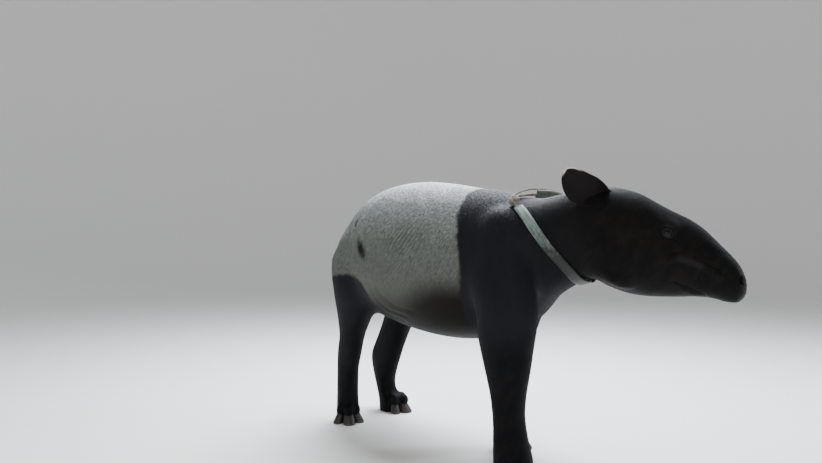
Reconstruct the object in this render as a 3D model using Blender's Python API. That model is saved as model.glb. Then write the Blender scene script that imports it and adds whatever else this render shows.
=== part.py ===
"""A Malayan tapir as a still, life-size museum model, in a slow walk with its head low.

Metres, +Z up. The animal faces +X and its left side is +Y. The body is modelled whole, from
cross-sections and rounded masses, blended into one skin and then parted with thin cuts into
head, neck, torso, tail and legs. Ears, eyes, hooves and the rope collar are pieces of their own.
While it is modelled, the right hind foot stands at x = 0; at the end the whole model is moved
so that its origin is the middle of its box, on the floor.
"""

import math

import bmesh
import bpy
import numpy as np
from mathutils import Matrix, Vector
from mathutils.bvhtree import BVHTree

GAP = 0.0003
VOXEL = 0.008
BROAD_SMOOTHING = 40
FINE_SMOOTHING = 8
BODY_TRIANGLES = 7400
RING_POINTS = 28

# Trunk, from rump to the base of the neck: x, back, belly, height of the widest line, half width
TRUNK = (
    (-0.100, 0.690, 0.575, 0.630, 0.050),
    (-0.082, 0.728, 0.530, 0.625, 0.092),
    (-0.042, 0.776, 0.490, 0.622, 0.130),
    (0.020, 0.836, 0.455, 0.620, 0.160),
    (0.110, 0.892, 0.430, 0.618, 0.194),
    (0.235, 0.919, 0.402, 0.610, 0.215),
    (0.370, 0.922, 0.382, 0.600, 0.232),
    (0.500, 0.908, 0.374, 0.595, 0.236),
    (0.620, 0.888, 0.380, 0.600, 0.222),
    (0.730, 0.873, 0.405, 0.620, 0.200),
    (0.830, 0.848, 0.452, 0.645, 0.168),
    (0.895, 0.843, 0.516, 0.675, 0.136),
)

# The head's own upright plane: its place over the floor and its turn to the left
HEAD_X = 1.065
HEAD_Y = 0.080
HEAD_TURN = math.radians(28)
NECK_BEND = (0.962, 0.022, math.radians(18), 0.858, 0.564, 0.700, 0.120)

# Head, from the nape to the end of the trunk-like nose: distance along it, then as for the trunk
HEAD = (
    (-0.050, 0.866, 0.600, 0.715, 0.108),
    (0.000, 0.872, 0.580, 0.715, 0.101),
    (0.045, 0.864, 0.563, 0.712, 0.098),
    (0.090, 0.849, 0.555, 0.706, 0.096),
    (0.135, 0.822, 0.553, 0.695, 0.090),
    (0.175, 0.799, 0.554, 0.680, 0.080),
    (0.215, 0.779, 0.556, 0.660, 0.067),
    (0.250, 0.756, 0.556, 0.645, 0.057),
    (0.280, 0.727, 0.553, 0.632, 0.050),
    (0.310, 0.694, 0.545, 0.617, 0.044),
    (0.335, 0.668, 0.540, 0.602, 0.038),
    (0.354, 0.640, 0.548, 0.592, 0.031),
    (0.366, 0.608, 0.566, 0.588, 0.014),
)

# Legs, from inside the trunk to below the floor: x, y, height, half length, half width
HIND_RIGHT = (
    (0.075, -0.110, 0.720, 0.100, 0.070),
    (0.075, -0.125, 0.600, 0.110, 0.082),
    (0.088, -0.132, 0.500, 0.100, 0.074),
    (0.078, -0.128, 0.420, 0.084, 0.060),
    (0.050, -0.120, 0.345, 0.062, 0.046),
    (0.024, -0.115, 0.268, 0.064, 0.038),
    (0.004, -0.108, 0.200, 0.051, 0.039),
    (-0.002, -0.105, 0.100, 0.047, 0.042),
    (0.000, -0.105, 0.045, 0.050, 0.045),
    (0.002, -0.105, -0.030, 0.052, 0.047),
)
HIND_LEFT = (
    (0.070, 0.110, 0.720, 0.100, 0.070),
    (0.072, 0.125, 0.600, 0.110, 0.082),
    (0.072, 0.132, 0.500, 0.104, 0.074),
    (0.054, 0.128, 0.420, 0.088, 0.060),
    (0.012, 0.123, 0.340, 0.082, 0.047),
    (-0.024, 0.120, 0.270, 0.086, 0.041),
    (-0.046, 0.120, 0.224, 0.088, 0.040),
    (-0.054, 0.120, 0.170, 0.070, 0.040),
    (-0.046, 0.118, 0.105, 0.044, 0.041),
    (-0.020, 0.120, 0.045, 0.050, 0.045),
    (-0.014, 0.121, -0.030, 0.052, 0.047),
)
FORE_RIGHT = (
    (0.800, -0.115, 0.720, 0.100, 0.060),
    (0.840, -0.138, 0.610, 0.115, 0.078),
    (0.872, -0.150, 0.510, 0.108, 0.080),
    (0.876, -0.155, 0.420, 0.095, 0.070),
    (0.882, -0.156, 0.330, 0.075, 0.058),
    (0.885, -0.156, 0.265, 0.058, 0.051),
    (0.888, -0.156, 0.200, 0.049, 0.050),
    (0.896, -0.156, 0.130, 0.054, 0.054),
    (0.905, -0.156, 0.075, 0.061, 0.060),
    (0.908, -0.156, -0.030, 0.063, 0.062),
)
FORE_LEFT = (
    (0.740, 0.115, 0.720, 0.100, 0.060),
    (0.715, 0.135, 0.610, 0.115, 0.078),
    (0.678, 0.140, 0.510, 0.104, 0.076),
    (0.656, 0.134, 0.420, 0.088, 0.066),
    (0.650, 0.126, 0.330, 0.071, 0.055),
    (0.648, 0.118, 0.265, 0.056, 0.050),
    (0.644, 0.112, 0.200, 0.048, 0.048),
    (0.640, 0.110, 0.130, 0.046, 0.048),
    (0.642, 0.110, 0.075, 0.048, 0.050),
    (0.643, 0.110, -0.030, 0.050, 0.052),
)

# Feet: middle of the foot, the way the toes point, and each toe's turn, reach and width
FEET = {
    "foreleg_right": (0.910, -0.156, -18),
    "foreleg_left": (0.638, 0.110, 22),
    "hindleg_right": (0.000, -0.106, -30),
    "hindleg_left": (-0.006, 0.124, 22),
}
FORE_TOES = ((-63, 0.050, 0.0145), (-21, 0.062, 0.0185), (21, 0.062, 0.0185), (63, 0.050, 0.0145))
HIND_TOES = ((-47, 0.050, 0.016), (0, 0.062, 0.020), (47, 0.050, 0.016))
TOE_HEIGHT = 0.022
TOE_BACK = 0.028
TOE_RADII = (0.036, 0.031)
HOOF_HEIGHT = 0.038

# Eyes, in the head's plane: along, height, distance from the middle plane, radius
EYE_ALONG = 0.160
EYE_HEIGHT = 0.733
EYE_OFFSET = 0.064
EYE_RADIUS = 0.017

# Ears: root in the head's plane, length, width, how deep the root is sunk, and how far the middle
# line bows down. EAR_TUCK is how far the root bends in towards the skull, over the first share
# EAR_TUCKED of the length. The widest place is a share too, and the ear curls round by the
# degrees of EAR_CURL at its root and its tip.
EAR_ALONG = -0.017
EAR_HEIGHT = 0.851
EAR_OFFSET = 0.050
EAR_LENGTH = 0.121
EAR_WIDTH = 0.096
EAR_SUNK = 0.024
EAR_TUCK = 0.030
EAR_TUCKED = 0.42
EAR_BOW = 0.0165
EAR_THICK = 0.0045
EAR_WIDEST = 0.46
EAR_ROOT_SHARE = 0.34
EAR_CURL = (225, 62)

# Mouth, seen from the side: from its corner to where it opens under the nose
MOUTH = ((0.176, 0.603), (0.205, 0.592), (0.232, 0.579), (0.256, 0.566), (0.274, 0.548), (0.284, 0.520))
MOUTH_GAP = 0.0026

# Tail, a short stub: x, y, height, radius
TAIL = (
    (-0.040, 0.0, 0.775, 0.024),
    (-0.082, 0.0, 0.752, 0.022),
    (-0.106, 0.0, 0.722, 0.018),
    (-0.117, 0.0, 0.692, 0.013),
    (-0.120, 0.0, 0.668, 0.006),
)

# Collar: a loop round the neck. Each place is a turn about the neck's middle line, in degrees
# from the crest (minus is the right side), how far forward it lies, and how far it stands off.
# The left sleeve stands partly on edge near the crest and turns flat between the two turns given
# in SLEEVE_ON_EDGE. A thinner strand of the rope leaves the knot, lies over the rope as far as the
# sleeve, and then runs along the sleeve's upper edge.
NECK_ROOT = (0.800, 0.000, 0.710)
NECK_TURN = math.radians(14)
COLLAR_PATH = ((-180, 0.222, 0.0), (-130, 0.207, 0.0), (-112, 0.188, 0.0), (-86, 0.138, 0.0),
               (-58, 0.076, 0.0), (-47, 0.050, 0.0), (-37, 0.009, 0.0), (-28, 0.004, 0.0),
               (-14, 0.012, 0.0), (0, 0.027, 0.001), (12, 0.049, 0.010), (24, 0.078, 0.028),
               (38, 0.113, 0.042), (60, 0.156, 0.039), (90, 0.190, 0.012), (120, 0.207, 0.0),
               (180, 0.222, 0.0))
KNOT_TURN = -37
SLEEVE_WIDTH = 0.029
SLEEVE_THICK = 0.011
SLEEVE_ON_EDGE = (math.radians(58), 8, 95)
ROPE_RADIUS = 0.0045
ROPE_SINK = 0.0020
STRAND_RADIUS = 0.0030
STRAND_TURNS = (-32.7, 8.0, 62.0)
KNOT_RADIUS = (0.022, 0.014, 0.013)
SKIN_CLEARANCE = 0.0018

# Cuts that part the body
NECK_CUT = ((0.858, 0.0, 0.860), (0.996, 0.0, 0.500))
HEAD_CUT = -0.030

BLACK = (0.016, 0.015, 0.017)
PALE = (0.33, 0.32, 0.30)
SHARP_ANGLE = math.radians(50)


def head_point(along, aside, height):
    """A place given in the head's upright plane, as a point of the model."""
    x = HEAD_X + along * math.cos(HEAD_TURN) - aside * math.sin(HEAD_TURN)
    y = HEAD_Y + along * math.sin(HEAD_TURN) + aside * math.cos(HEAD_TURN)
    return Vector((x, y, height))


def head_direction(along, aside, up):
    """A direction given in the head's upright plane."""
    return (head_point(along, aside, up) - head_point(0, 0, 0)).normalized()


def smooth_rows(keys, steps):
    """Rows of numbers on a smooth curve that passes through every key row."""
    keys = np.array(keys, dtype=float)
    padded = np.vstack([2 * keys[0] - keys[1], keys, 2 * keys[-1] - keys[-2]])
    rows = []
    for first in range(len(keys) - 1):
        before, start, end, after = padded[first:first + 4]
        for step in range(steps):
            t = step / steps
            bend = (end - before) * t + (2 * before - 5 * start + 4 * end - after) * t ** 2
            rows.append(start + 0.5 * (bend + (3 * start - before - 3 * end + after) * t ** 3))
    rows.append(keys[-1])
    return rows


def new_object(name, bm):
    """Turns a bmesh into an object with outward faces."""
    bmesh.ops.recalc_face_normals(bm, faces=bm.faces)
    mesh = bpy.data.meshes.new(name)
    bm.to_mesh(mesh)
    bm.free()
    obj = bpy.data.objects.new(name, mesh)
    bpy.context.scene.collection.objects.link(obj)
    return obj


def loft(name, rings):
    """A closed solid through rings that all have the same number of points."""
    bm = bmesh.new()
    rows = [[bm.verts.new(point) for point in ring] for ring in rings]
    count = len(rows[0])
    for lower, upper in zip(rows, rows[1:]):
        for index in range(count):
            following = (index + 1) % count
            bm.faces.new((lower[index], lower[following], upper[following], upper[index]))
    bm.faces.new(rows[0])
    bm.faces.new(rows[-1])
    return new_object(name, bm)


def upright_ring(x, y, turn, top, bottom, widest, half_width):
    """An egg-shaped upright cross-section, turned about the vertical."""
    ring = []
    for index in range(RING_POINTS):
        angle = 2 * math.pi * index / RING_POINTS
        aside = half_width * math.cos(angle)
        reach = (top - widest) if math.sin(angle) > 0 else (widest - bottom)
        height = widest + reach * math.sin(angle)
        ring.append((x - aside * math.sin(turn), y + aside * math.cos(turn), height))
    return ring


def level_ring(x, y, height, half_length, half_width, points=RING_POINTS):
    """An oval level cross-section."""
    angles = [2 * math.pi * index / points for index in range(points)]
    return [(x + half_length * math.cos(a), y + half_width * math.sin(a), height) for a in angles]


def ellipsoid(name, centre, radii, turn=0.0, rings=12):
    """A rounded mass with three radii, turned about the vertical."""
    bm = bmesh.new()
    bmesh.ops.create_uvsphere(bm, u_segments=2 * rings, v_segments=rings, radius=1.0)
    shape = Matrix.Translation(centre) @ Matrix.Rotation(turn, 4, "Z") @ Matrix.Diagonal((*radii, 1))
    bmesh.ops.transform(bm, matrix=shape, verts=bm.verts)
    return new_object(name, bm)


def tube(name, centres, sections, outwards):
    """A closed tube: at each centre an oval with half width and half thickness, flat side out."""
    rings = []
    for index, centre in enumerate(centres):
        before = Vector(centres[max(index - 1, 0)])
        after = Vector(centres[min(index + 1, len(centres) - 1)])
        forward = (after - before).normalized()
        across = forward.cross(outwards[index]).normalized()
        outward = across.cross(forward)
        half_width, half_thick = sections[index]
        ring = []
        for corner in range(10):
            angle = 2 * math.pi * corner / 10
            ring.append(Vector(centre) + across * half_width * math.cos(angle)
                        + outward * half_thick * math.sin(angle))
        rings.append(ring)
    return loft(name, rings)


def settle(obj):
    """Applies an object's modifiers."""
    bpy.context.view_layer.update()
    evaluated = obj.evaluated_get(bpy.context.evaluated_depsgraph_get())
    mesh = bpy.data.meshes.new_from_object(evaluated)
    obj.modifiers.clear()
    obj.data = mesh
    return obj


def remove(obj):
    bpy.data.objects.remove(obj)


def combine(obj, cutter, operation, solver="EXACT"):
    """Cuts or joins an object with another closed one, and removes that one."""
    boolean = obj.modifiers.new("combine", "BOOLEAN")
    boolean.operation = operation
    boolean.object = cutter
    boolean.solver = solver
    settle(obj)
    remove(cutter)
    return keep_largest(obj)


def keep_largest(obj):
    """Keeps only the largest closed surface of an object."""
    bm = bmesh.new()
    bm.from_mesh(obj.data)
    bmesh.ops.triangulate(bm, faces=bm.faces)
    bm.verts.index_update()
    seen = set()
    groups = []
    for vert in bm.verts:
        if vert.index in seen:
            continue
        seen.add(vert.index)
        group = [vert]
        for member in group:
            for edge in member.link_edges:
                other = edge.other_vert(member)
                if other.index not in seen:
                    seen.add(other.index)
                    group.append(other)
        groups.append(group)
    groups.sort(key=len)
    scraps = [vert for group in groups[:-1] for vert in group]
    bmesh.ops.delete(bm, geom=scraps, context="VERTS")
    bm.to_mesh(obj.data)
    bm.free()
    return obj


def copy_of(obj, name, grow=0.0):
    """A copy, with each point moved outwards by a small distance."""
    mesh = obj.data.copy()
    normals = [vert.normal.copy() for vert in mesh.vertices]
    for vert, normal in zip(mesh.vertices, normals):
        vert.co += normal * grow
    twin = bpy.data.objects.new(name, mesh)
    bpy.context.scene.collection.objects.link(twin)
    return twin


def slice_off(obj, point, normal):
    """Keeps what lies on the side that the normal points to, with a flat cut face."""
    bm = bmesh.new()
    bm.from_mesh(obj.data)
    bmesh.ops.bisect_plane(bm, geom=bm.verts[:] + bm.edges[:] + bm.faces[:], dist=1e-7,
                           plane_co=point, plane_no=normal, clear_inner=True)
    rim = [edge for edge in bm.edges if edge.is_boundary]
    bmesh.ops.holes_fill(bm, edges=rim, sides=0)
    bmesh.ops.triangulate(bm, faces=bm.faces)
    bm.to_mesh(obj.data)
    bm.free()
    return obj


def join(name, pieces):
    """Puts several closed meshes in one object, still passing through each other."""
    bm = bmesh.new()
    for piece in pieces:
        bm.from_mesh(piece.data)
        remove(piece)
    return new_object(name, bm)


def trunk_neck_and_head():
    """One sweep from the rump to the end of the nose."""
    rows = [(x, 0.0, 0.0, *rest) for x, *rest in TRUNK]
    rows.append(NECK_BEND)
    for along, *rest in HEAD:
        place = head_point(along, 0, 0)
        rows.append((place.x, place.y, HEAD_TURN, *rest))
    return loft("sweep", [upright_ring(*row) for row in smooth_rows(rows, 3)])


def leg(rows):
    return loft("leg", [level_ring(*row) for row in smooth_rows(rows, 3)])


def toes(foot):
    """Where each toe of a foot ends: point on the floor, direction and half width."""
    x, y, turn = FEET[foot]
    pattern = FORE_TOES if foot.startswith("fore") else HIND_TOES
    for spread, reach, half_width in pattern:
        heading = math.radians(turn + spread)
        yield x + reach * math.cos(heading), y + reach * math.sin(heading), heading, half_width


def muscles():
    """Rounded masses that swell the sweep: shoulders, haunches, cheeks and brows."""
    pieces = []
    for side in (-1, 1):
        fore_x = 0.815 if side < 0 else 0.760
        hind_x = 0.062 if side < 0 else 0.052
        pieces.append(ellipsoid("shoulder", (fore_x, side * 0.105, 0.650), (0.115, 0.082, 0.170)))
        pieces.append(ellipsoid("haunch", (hind_x, side * 0.104, 0.618), (0.115, 0.096, 0.145)))
        pieces.append(ellipsoid("buttock", (-0.036, side * 0.078, 0.588), (0.078, 0.066, 0.114)))
        pieces.append(ellipsoid("cheek", head_point(0.055, side * 0.048, 0.655),
                                (0.080, 0.044, 0.080), HEAD_TURN))
        pieces.append(ellipsoid("brow", head_point(0.146, side * 0.050, 0.755),
                                (0.052, 0.022, 0.019), HEAD_TURN))
    return pieces


def whole_body():
    """The sweep, legs, masses and toes as one smooth closed skin, with flat soles."""
    pieces = [trunk_neck_and_head()]
    pieces += [leg(rows) for rows in (HIND_RIGHT, HIND_LEFT, FORE_RIGHT, FORE_LEFT)]
    pieces += muscles()
    for foot in FEET:
        for x, y, heading, half_width in toes(foot):
            centre = (x - TOE_BACK * math.cos(heading), y - TOE_BACK * math.sin(heading), TOE_HEIGHT)
            radii = (TOE_RADII[0], half_width * 1.02, TOE_RADII[1])
            pieces.append(ellipsoid("toe", centre, radii, heading, 8))
    body = join("body", pieces)
    remesh = body.modifiers.new("blend", "REMESH")
    remesh.mode = "VOXEL"
    remesh.voxel_size = VOXEL
    settle(body)
    broad = body.vertex_groups.new(name="broad")
    for vert in body.data.vertices:
        high = min(max((vert.co.z - 0.30) / 0.12, 0.0), 1.0)
        behind_head = min(max((1.02 - vert.co.x) / 0.10, 0.0), 1.0)
        broad.add([vert.index], high * behind_head, "REPLACE")
    for group, iterations in (("broad", BROAD_SMOOTHING), ("", FINE_SMOOTHING)):
        smooth = body.modifiers.new("soften", "SMOOTH")
        smooth.factor = 0.5
        smooth.iterations = iterations
        smooth.vertex_group = group
    settle(body)
    body.data.calc_loop_triangles()
    thin = body.modifiers.new("thin", "DECIMATE")
    thin.ratio = BODY_TRIANGLES / len(body.data.loop_triangles)
    settle(body)
    return slice_off(body, (0, 0, 0), (0, 0, 1))


def leg_region(name, side, back, front, slope, grow=0.0):
    """A block under a slanted roof, which holds one leg.

    back and front are each a place along the body and the roof's height there over the middle
    plane, and slope is how steeply the roof rises outwards.
    """
    run = (front[1] - back[1]) / (front[0] - back[0])
    rise = grow * math.sqrt(1 + slope ** 2 + run ** 2)
    bm = bmesh.new()
    corners = []
    for x in (back[0] - grow, front[0] + grow):
        for aside in (0.004 - grow, 0.50 + grow):
            roof = back[1] + run * (x - back[0]) + slope * aside + rise
            corners.append(bm.verts.new((x, side * aside, -0.1)))
            corners.append(bm.verts.new((x, side * aside, roof)))
    bmesh.ops.convex_hull(bm, input=corners)
    return new_object(name, bm)


# Each leg's side, the roof over it at its back and front, and how the roof rises outwards
LEG_REGIONS = {
    "hindleg_right": (-1, (-0.20, 0.470), (0.25, 0.325), 0.75),
    "hindleg_left": (1, (-0.20, 0.470), (0.25, 0.325), 0.75),
    "foreleg_right": (-1, (0.70, 0.375), (1.10, 0.435), 0.45),
    "foreleg_left": (1, (0.50, 0.335), (0.88, 0.400), 0.45),
}


def part_the_body(body):
    """Cuts the whole skin into head, neck, legs and torso, a thin gap apart."""
    nodes = {}
    half = GAP / 2
    ahead = head_direction(1, 0, 0)
    across = Vector((NECK_CUT[0][2] - NECK_CUT[1][2], 0, NECK_CUT[1][0] - NECK_CUT[0][0])).normalized()
    root = Vector(NECK_CUT[0])
    nodes["head"] = slice_off(copy_of(body, "head"), head_point(HEAD_CUT, 0, 0.7) + ahead * half, ahead)
    neck = slice_off(copy_of(body, "neck"), root + across * half, across)
    nodes["neck"] = slice_off(neck, head_point(HEAD_CUT, 0, 0.7) - ahead * half, -ahead)
    torso = slice_off(body, root - across * half, -across)
    torso.name = "torso"
    for name, region in LEG_REGIONS.items():
        nodes[name] = combine(copy_of(torso, name), leg_region("region", *region), "INTERSECT")
    for region in LEG_REGIONS.values():
        combine(torso, leg_region("region", *region, GAP), "DIFFERENCE")
    nodes["torso"] = torso
    return nodes


def hoof(name, x, y, heading, half_width):
    """A blunt, rounded hoof that caps the end of a toe, flat underneath."""
    rings = []
    for height, length, width in ((0.0, 0.025, 1.12), (0.006, 0.026, 1.16), (0.018, 0.0225, 1.08),
                                  (HOOF_HEIGHT - 0.007, 0.018, 0.94), (HOOF_HEIGHT, 0.013, 0.76)):
        ring = []
        for index in range(12):
            angle = 2 * math.pi * index / 12
            forward = length * math.cos(angle) - 0.35 * height
            aside = half_width * width * math.sin(angle)
            ring.append((x + forward * math.cos(heading) - aside * math.sin(heading),
                         y + forward * math.sin(heading) + aside * math.cos(heading), height))
        rings.append(ring)
    return loft(name, rings)


def ear_leaf(t):
    """An ear's half width at a share of its length, and how far round it curls there."""
    if t < EAR_WIDEST:
        share = EAR_ROOT_SHARE + (1 - EAR_ROOT_SHARE) * math.sin(math.pi / 2 * t / EAR_WIDEST)
    else:
        share = max(1 - ((t - EAR_WIDEST) / (1 - EAR_WIDEST)) ** 2.3, 0.02) ** (1 / 2.3)
    curl = EAR_CURL[0] + (EAR_CURL[1] - EAR_CURL[0]) * min(t * 1.8, 1.0) ** 0.8
    return 0.5 * EAR_WIDTH * share, math.radians(curl)


def ear(name, side, along_back, outward, up):
    """A rounded cup of skin, a tube at its root, that opens outwards."""
    root = head_point(EAR_ALONG, side * EAR_OFFSET, EAR_HEIGHT)
    length_way = head_direction(-along_back, side * outward, up)
    open_way = head_direction(0.35, side * 1.0, -0.10)
    open_way = (open_way - length_way * open_way.dot(length_way)).normalized()
    width_way = length_way.cross(open_way).normalized()
    rows = 12
    columns = 10
    bm = bmesh.new()
    grid = []
    for row in range(rows + 1):
        t = row / rows
        half, curl = ear_leaf(t)
        radius = half / max(math.sin(min(curl / 2, math.pi / 2)), 0.2)
        tuck = EAR_TUCK * max(1 - t / EAR_TUCKED, 0.0) ** 2
        line = []
        for column in range(columns + 1):
            swing = (column / columns - 0.5) * curl
            place = (root + length_way * ((EAR_LENGTH + EAR_SUNK) * t - EAR_SUNK)
                     + width_way * (radius * math.sin(swing) + side * EAR_BOW * math.sin(math.pi * t))
                     + open_way * (radius * (1 - math.cos(swing)) - tuck))
            line.append(bm.verts.new(place))
        grid.append(line)
    for lower, upper in zip(grid, grid[1:]):
        for column in range(columns):
            bm.faces.new((lower[column], lower[column + 1], upper[column + 1], upper[column]))
    obj = new_object(name, bm)
    wall = obj.modifiers.new("wall", "SOLIDIFY")
    wall.thickness = EAR_THICK
    wall.offset = 0.0
    return settle(obj)


def eye_axes(side):
    """The eye's middle, the way it looks, its long axis and its short axis."""
    centre = head_point(EYE_ALONG, side * EYE_OFFSET, EYE_HEIGHT)
    look = head_direction(0.30, side * 1.0, 0.10)
    long_way = head_direction(0.80, -side * 0.20, -0.62)
    long_way = (long_way - look * long_way.dot(look)).normalized()
    short_way = long_way.cross(look) * (-side)
    return centre, look, long_way, short_way


def lid(side, opening):
    """A fold of skin along one edge of the eye's opening."""
    centre, look, long_way, short_way = eye_axes(side)
    points = []
    sections = []
    outwards = []
    for index in range(9):
        swing = (index / 8 - 0.5) * 2
        along = math.radians(62 * swing)
        up = math.radians(opening * math.cos(swing * math.pi / 2))
        way = (look * math.cos(up) + short_way * math.sin(up)) * math.cos(along)
        way += long_way * math.sin(along)
        points.append(centre + way * (EYE_RADIUS + 0.0008))
        thick = 0.0050 - 0.0014 * abs(swing)
        sections.append((thick * 1.2, thick))
        outwards.append(way)
    return tube("lid", points, sections, outwards)


def finish_head(head):
    """Lids, eye sockets, the line of the mouth and the nostrils."""
    for side in (-1, 1):
        combine(head, lid(side, 45), "UNION")
        combine(head, lid(side, -41), "UNION")
        centre = eye_axes(side)[0]
        combine(head, ellipsoid("socket", centre, [EYE_RADIUS + GAP] * 3, 0.0, 10), "DIFFERENCE")
        nostril = head_point(0.351, side * 0.024, 0.604)
        combine(head, ellipsoid("nostril", nostril, (0.013, 0.009, 0.011), HEAD_TURN, 6), "DIFFERENCE")
    rings = []
    for index, (along, height) in enumerate(smooth_rows(MOUTH, 2)):
        half = MOUTH_GAP / 2 * min(1.0, 0.35 + 0.2 * index)
        rings.append([head_point(along, aside, height + lift)
                      for aside, lift in ((-0.2, -half), (0.2, -half), (0.2, half), (-0.2, half))])
    return combine(head, loft("mouth", rings), "DIFFERENCE")


def collar_route(body):
    """The collar's middle line just off the skin: turns, points and the skin's outward way."""
    tree = BVHTree.FromObject(body, bpy.context.evaluated_depsgraph_get())
    turns, reaches, offsets = zip(*COLLAR_PATH)
    ahead = Vector((math.cos(NECK_TURN), math.sin(NECK_TURN), 0))
    aside = Vector((-math.sin(NECK_TURN), math.cos(NECK_TURN), 0))
    samples = np.linspace(-190, 190, 191)
    middles = []
    ways = []
    normals = []
    radii = []
    for turn in samples:
        within = (turn + 180) % 360 - 180
        swing = math.radians(turn)
        way = aside * math.sin(swing) + Vector((0, 0, 1)) * math.cos(swing)
        middle = Vector(NECK_ROOT) + ahead * float(np.interp(within, turns, reaches))
        hit, normal, _, _ = tree.ray_cast(middle + way * 0.5, -way)
        lift = SLEEVE_THICK / 2 + SKIN_CLEARANCE + float(np.interp(within, turns, offsets))
        middles.append(middle)
        ways.append(way)
        normals.append(normal)
        radii.append((hit - middle).length + lift)
    least = np.array(radii)
    eased = least.copy()
    centres = np.array(middles)
    outwards = np.array(normals)
    for _ in range(30):
        eased[1:-1] = (eased[:-2] + 2 * eased[1:-1] + eased[2:]) / 4
        centres[1:-1] = (centres[:-2] + 2 * centres[1:-1] + centres[2:]) / 4
        outwards[1:-1] = (outwards[:-2] + 2 * outwards[1:-1] + outwards[2:]) / 4
    reach = np.maximum(eased, least)[:, None]
    return samples, centres + np.array(ways) * reach, outwards


def on_edge(turn):
    """How far the left sleeve is turned on its edge at a turn about the neck."""
    most, start, end = SLEEVE_ON_EDGE
    t = min(max((turn - start) / (end - start), 0.0), 1.0)
    return most * (1 - t * t * (3 - 2 * t))


def low_rope(turn):
    """The rope is thinner than a sleeve, so it lies closer to the skin."""
    return -ROPE_SINK


def over_rope(turn):
    """How far the strand stands off the collar's middle line: over the rope, then over the sleeve."""
    start, sleeve = STRAND_TURNS[:2]
    lean = on_edge(turn)
    edge = math.hypot(SLEEVE_WIDTH / 2 * math.sin(lean), SLEEVE_THICK / 2 * math.cos(lean))
    t = min(max((turn - start) / (sleeve - start), 0.0), 1.0)
    rope = ROPE_RADIUS - ROPE_SINK
    return rope + (edge - rope) * t * t * (3 - 2 * t) + STRAND_RADIUS + 2 * GAP


def at_turn(turn, samples, rows):
    """The point or direction of the collar's route at a turn about the neck."""
    return Vector([np.interp(turn, samples, rows[:, axis]) for axis in range(3)])


def collar_piece(route, name, start, end, count, half_width, half_thick, lean=None, rise=None):
    """A length of the collar between two turns about the neck.

    lean turns its flat side about its own length, and rise lifts it off the collar's middle line.
    """
    samples, points, outward_ways = route
    turns = [start + (end - start) * index / (count - 1) for index in range(count)]
    centres = []
    outwards = []
    for turn in turns:
        before, centre, after = [at_turn(turn + step, samples, points) for step in (-1, 0, 1)]
        outward = at_turn(turn, samples, outward_ways).normalized()
        centres.append(centre + outward * (rise(turn) if rise else 0.0))
        outwards.append(Matrix.Rotation(lean(turn) if lean else 0.0, 3, after - before) @ outward)
    return tube(name, centres, [(half_width, half_thick)] * count, outwards)


def collar(body):
    """Two hose sleeves on a rope that is knotted beside the crest of the neck."""
    route = collar_route(body)
    pieces = (
        ("collar_sleeve_right", -47.0, -173.0, 20, SLEEVE_WIDTH / 2, SLEEVE_THICK / 2),
        ("collar_sleeve_left", 8.0, 173.0, 24, SLEEVE_WIDTH / 2, SLEEVE_THICK / 2, on_edge),
        ("collar_rope_right", -42.45, -46.7, 3, ROPE_RADIUS, ROPE_RADIUS),
        ("collar_rope_left", -32.7, 7.7, 10, ROPE_RADIUS, ROPE_RADIUS, None, low_rope),
        ("collar_rope_throat", 173.3, 186.7, 4, ROPE_RADIUS, ROPE_RADIUS),
        ("collar_rope_strand", STRAND_TURNS[0], STRAND_TURNS[2], 22, STRAND_RADIUS, STRAND_RADIUS, None,
         over_rope),
    )
    parts = {piece[0]: collar_piece(route, *piece) for piece in pieces}
    samples, points, outward_ways = route
    beside = int(np.argmin(abs(samples - KNOT_TURN)))
    centre = Vector(points[beside]) + Vector(outward_ways[beside]) * (KNOT_RADIUS[2] - SLEEVE_THICK / 2)
    parts["collar_knot"] = ellipsoid("collar_knot", centre, KNOT_RADIUS, 0.0, 7)
    return parts


def give_material(obj, name, colour, roughness):
    """One Principled material on an object."""
    material = bpy.data.materials.get(name) or bpy.data.materials.new(name)
    material.use_nodes = True
    shader = material.node_tree.nodes["Principled BSDF"]
    shader.inputs["Base Color"].default_value = (*colour, 1)
    shader.inputs["Roughness"].default_value = roughness
    shader.inputs["Metallic"].default_value = 0.0
    obj.data.materials.clear()
    obj.data.materials.append(material)


def build():
    body = whole_body()
    swollen = copy_of(body, "swollen", GAP * 1.3)
    nodes = {}
    tail_rings = [level_ring(x, y, z, r, r * 0.9, 12) for x, y, z, r in smooth_rows(TAIL, 2)]
    nodes["tail"] = loft("tail", tail_rings)
    nodes["ear_right"] = ear("ear_right", -1, 0.80, 0.20, 0.476)
    nodes["ear_left"] = ear("ear_left", 1, 0.90, 0.36, 0.24)
    for foot in FEET:
        for number, toe in enumerate(toes(foot), 1):
            name = f"hoof_{foot.replace('leg', '')}_{number}"
            nodes[name] = hoof(name, *toe)
    for obj in nodes.values():
        combine(obj, copy_of(swollen, "cutter"), "DIFFERENCE")
    nodes.update(collar(body))
    nodes.update(part_the_body(body))
    finish_head(nodes["head"])
    for side, name in ((-1, "eye_right"), (1, "eye_left")):
        nodes[name] = ellipsoid(name, eye_axes(side)[0], [EYE_RADIUS] * 3, 0.0, 10)
    remove(swollen)
    return nodes


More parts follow.
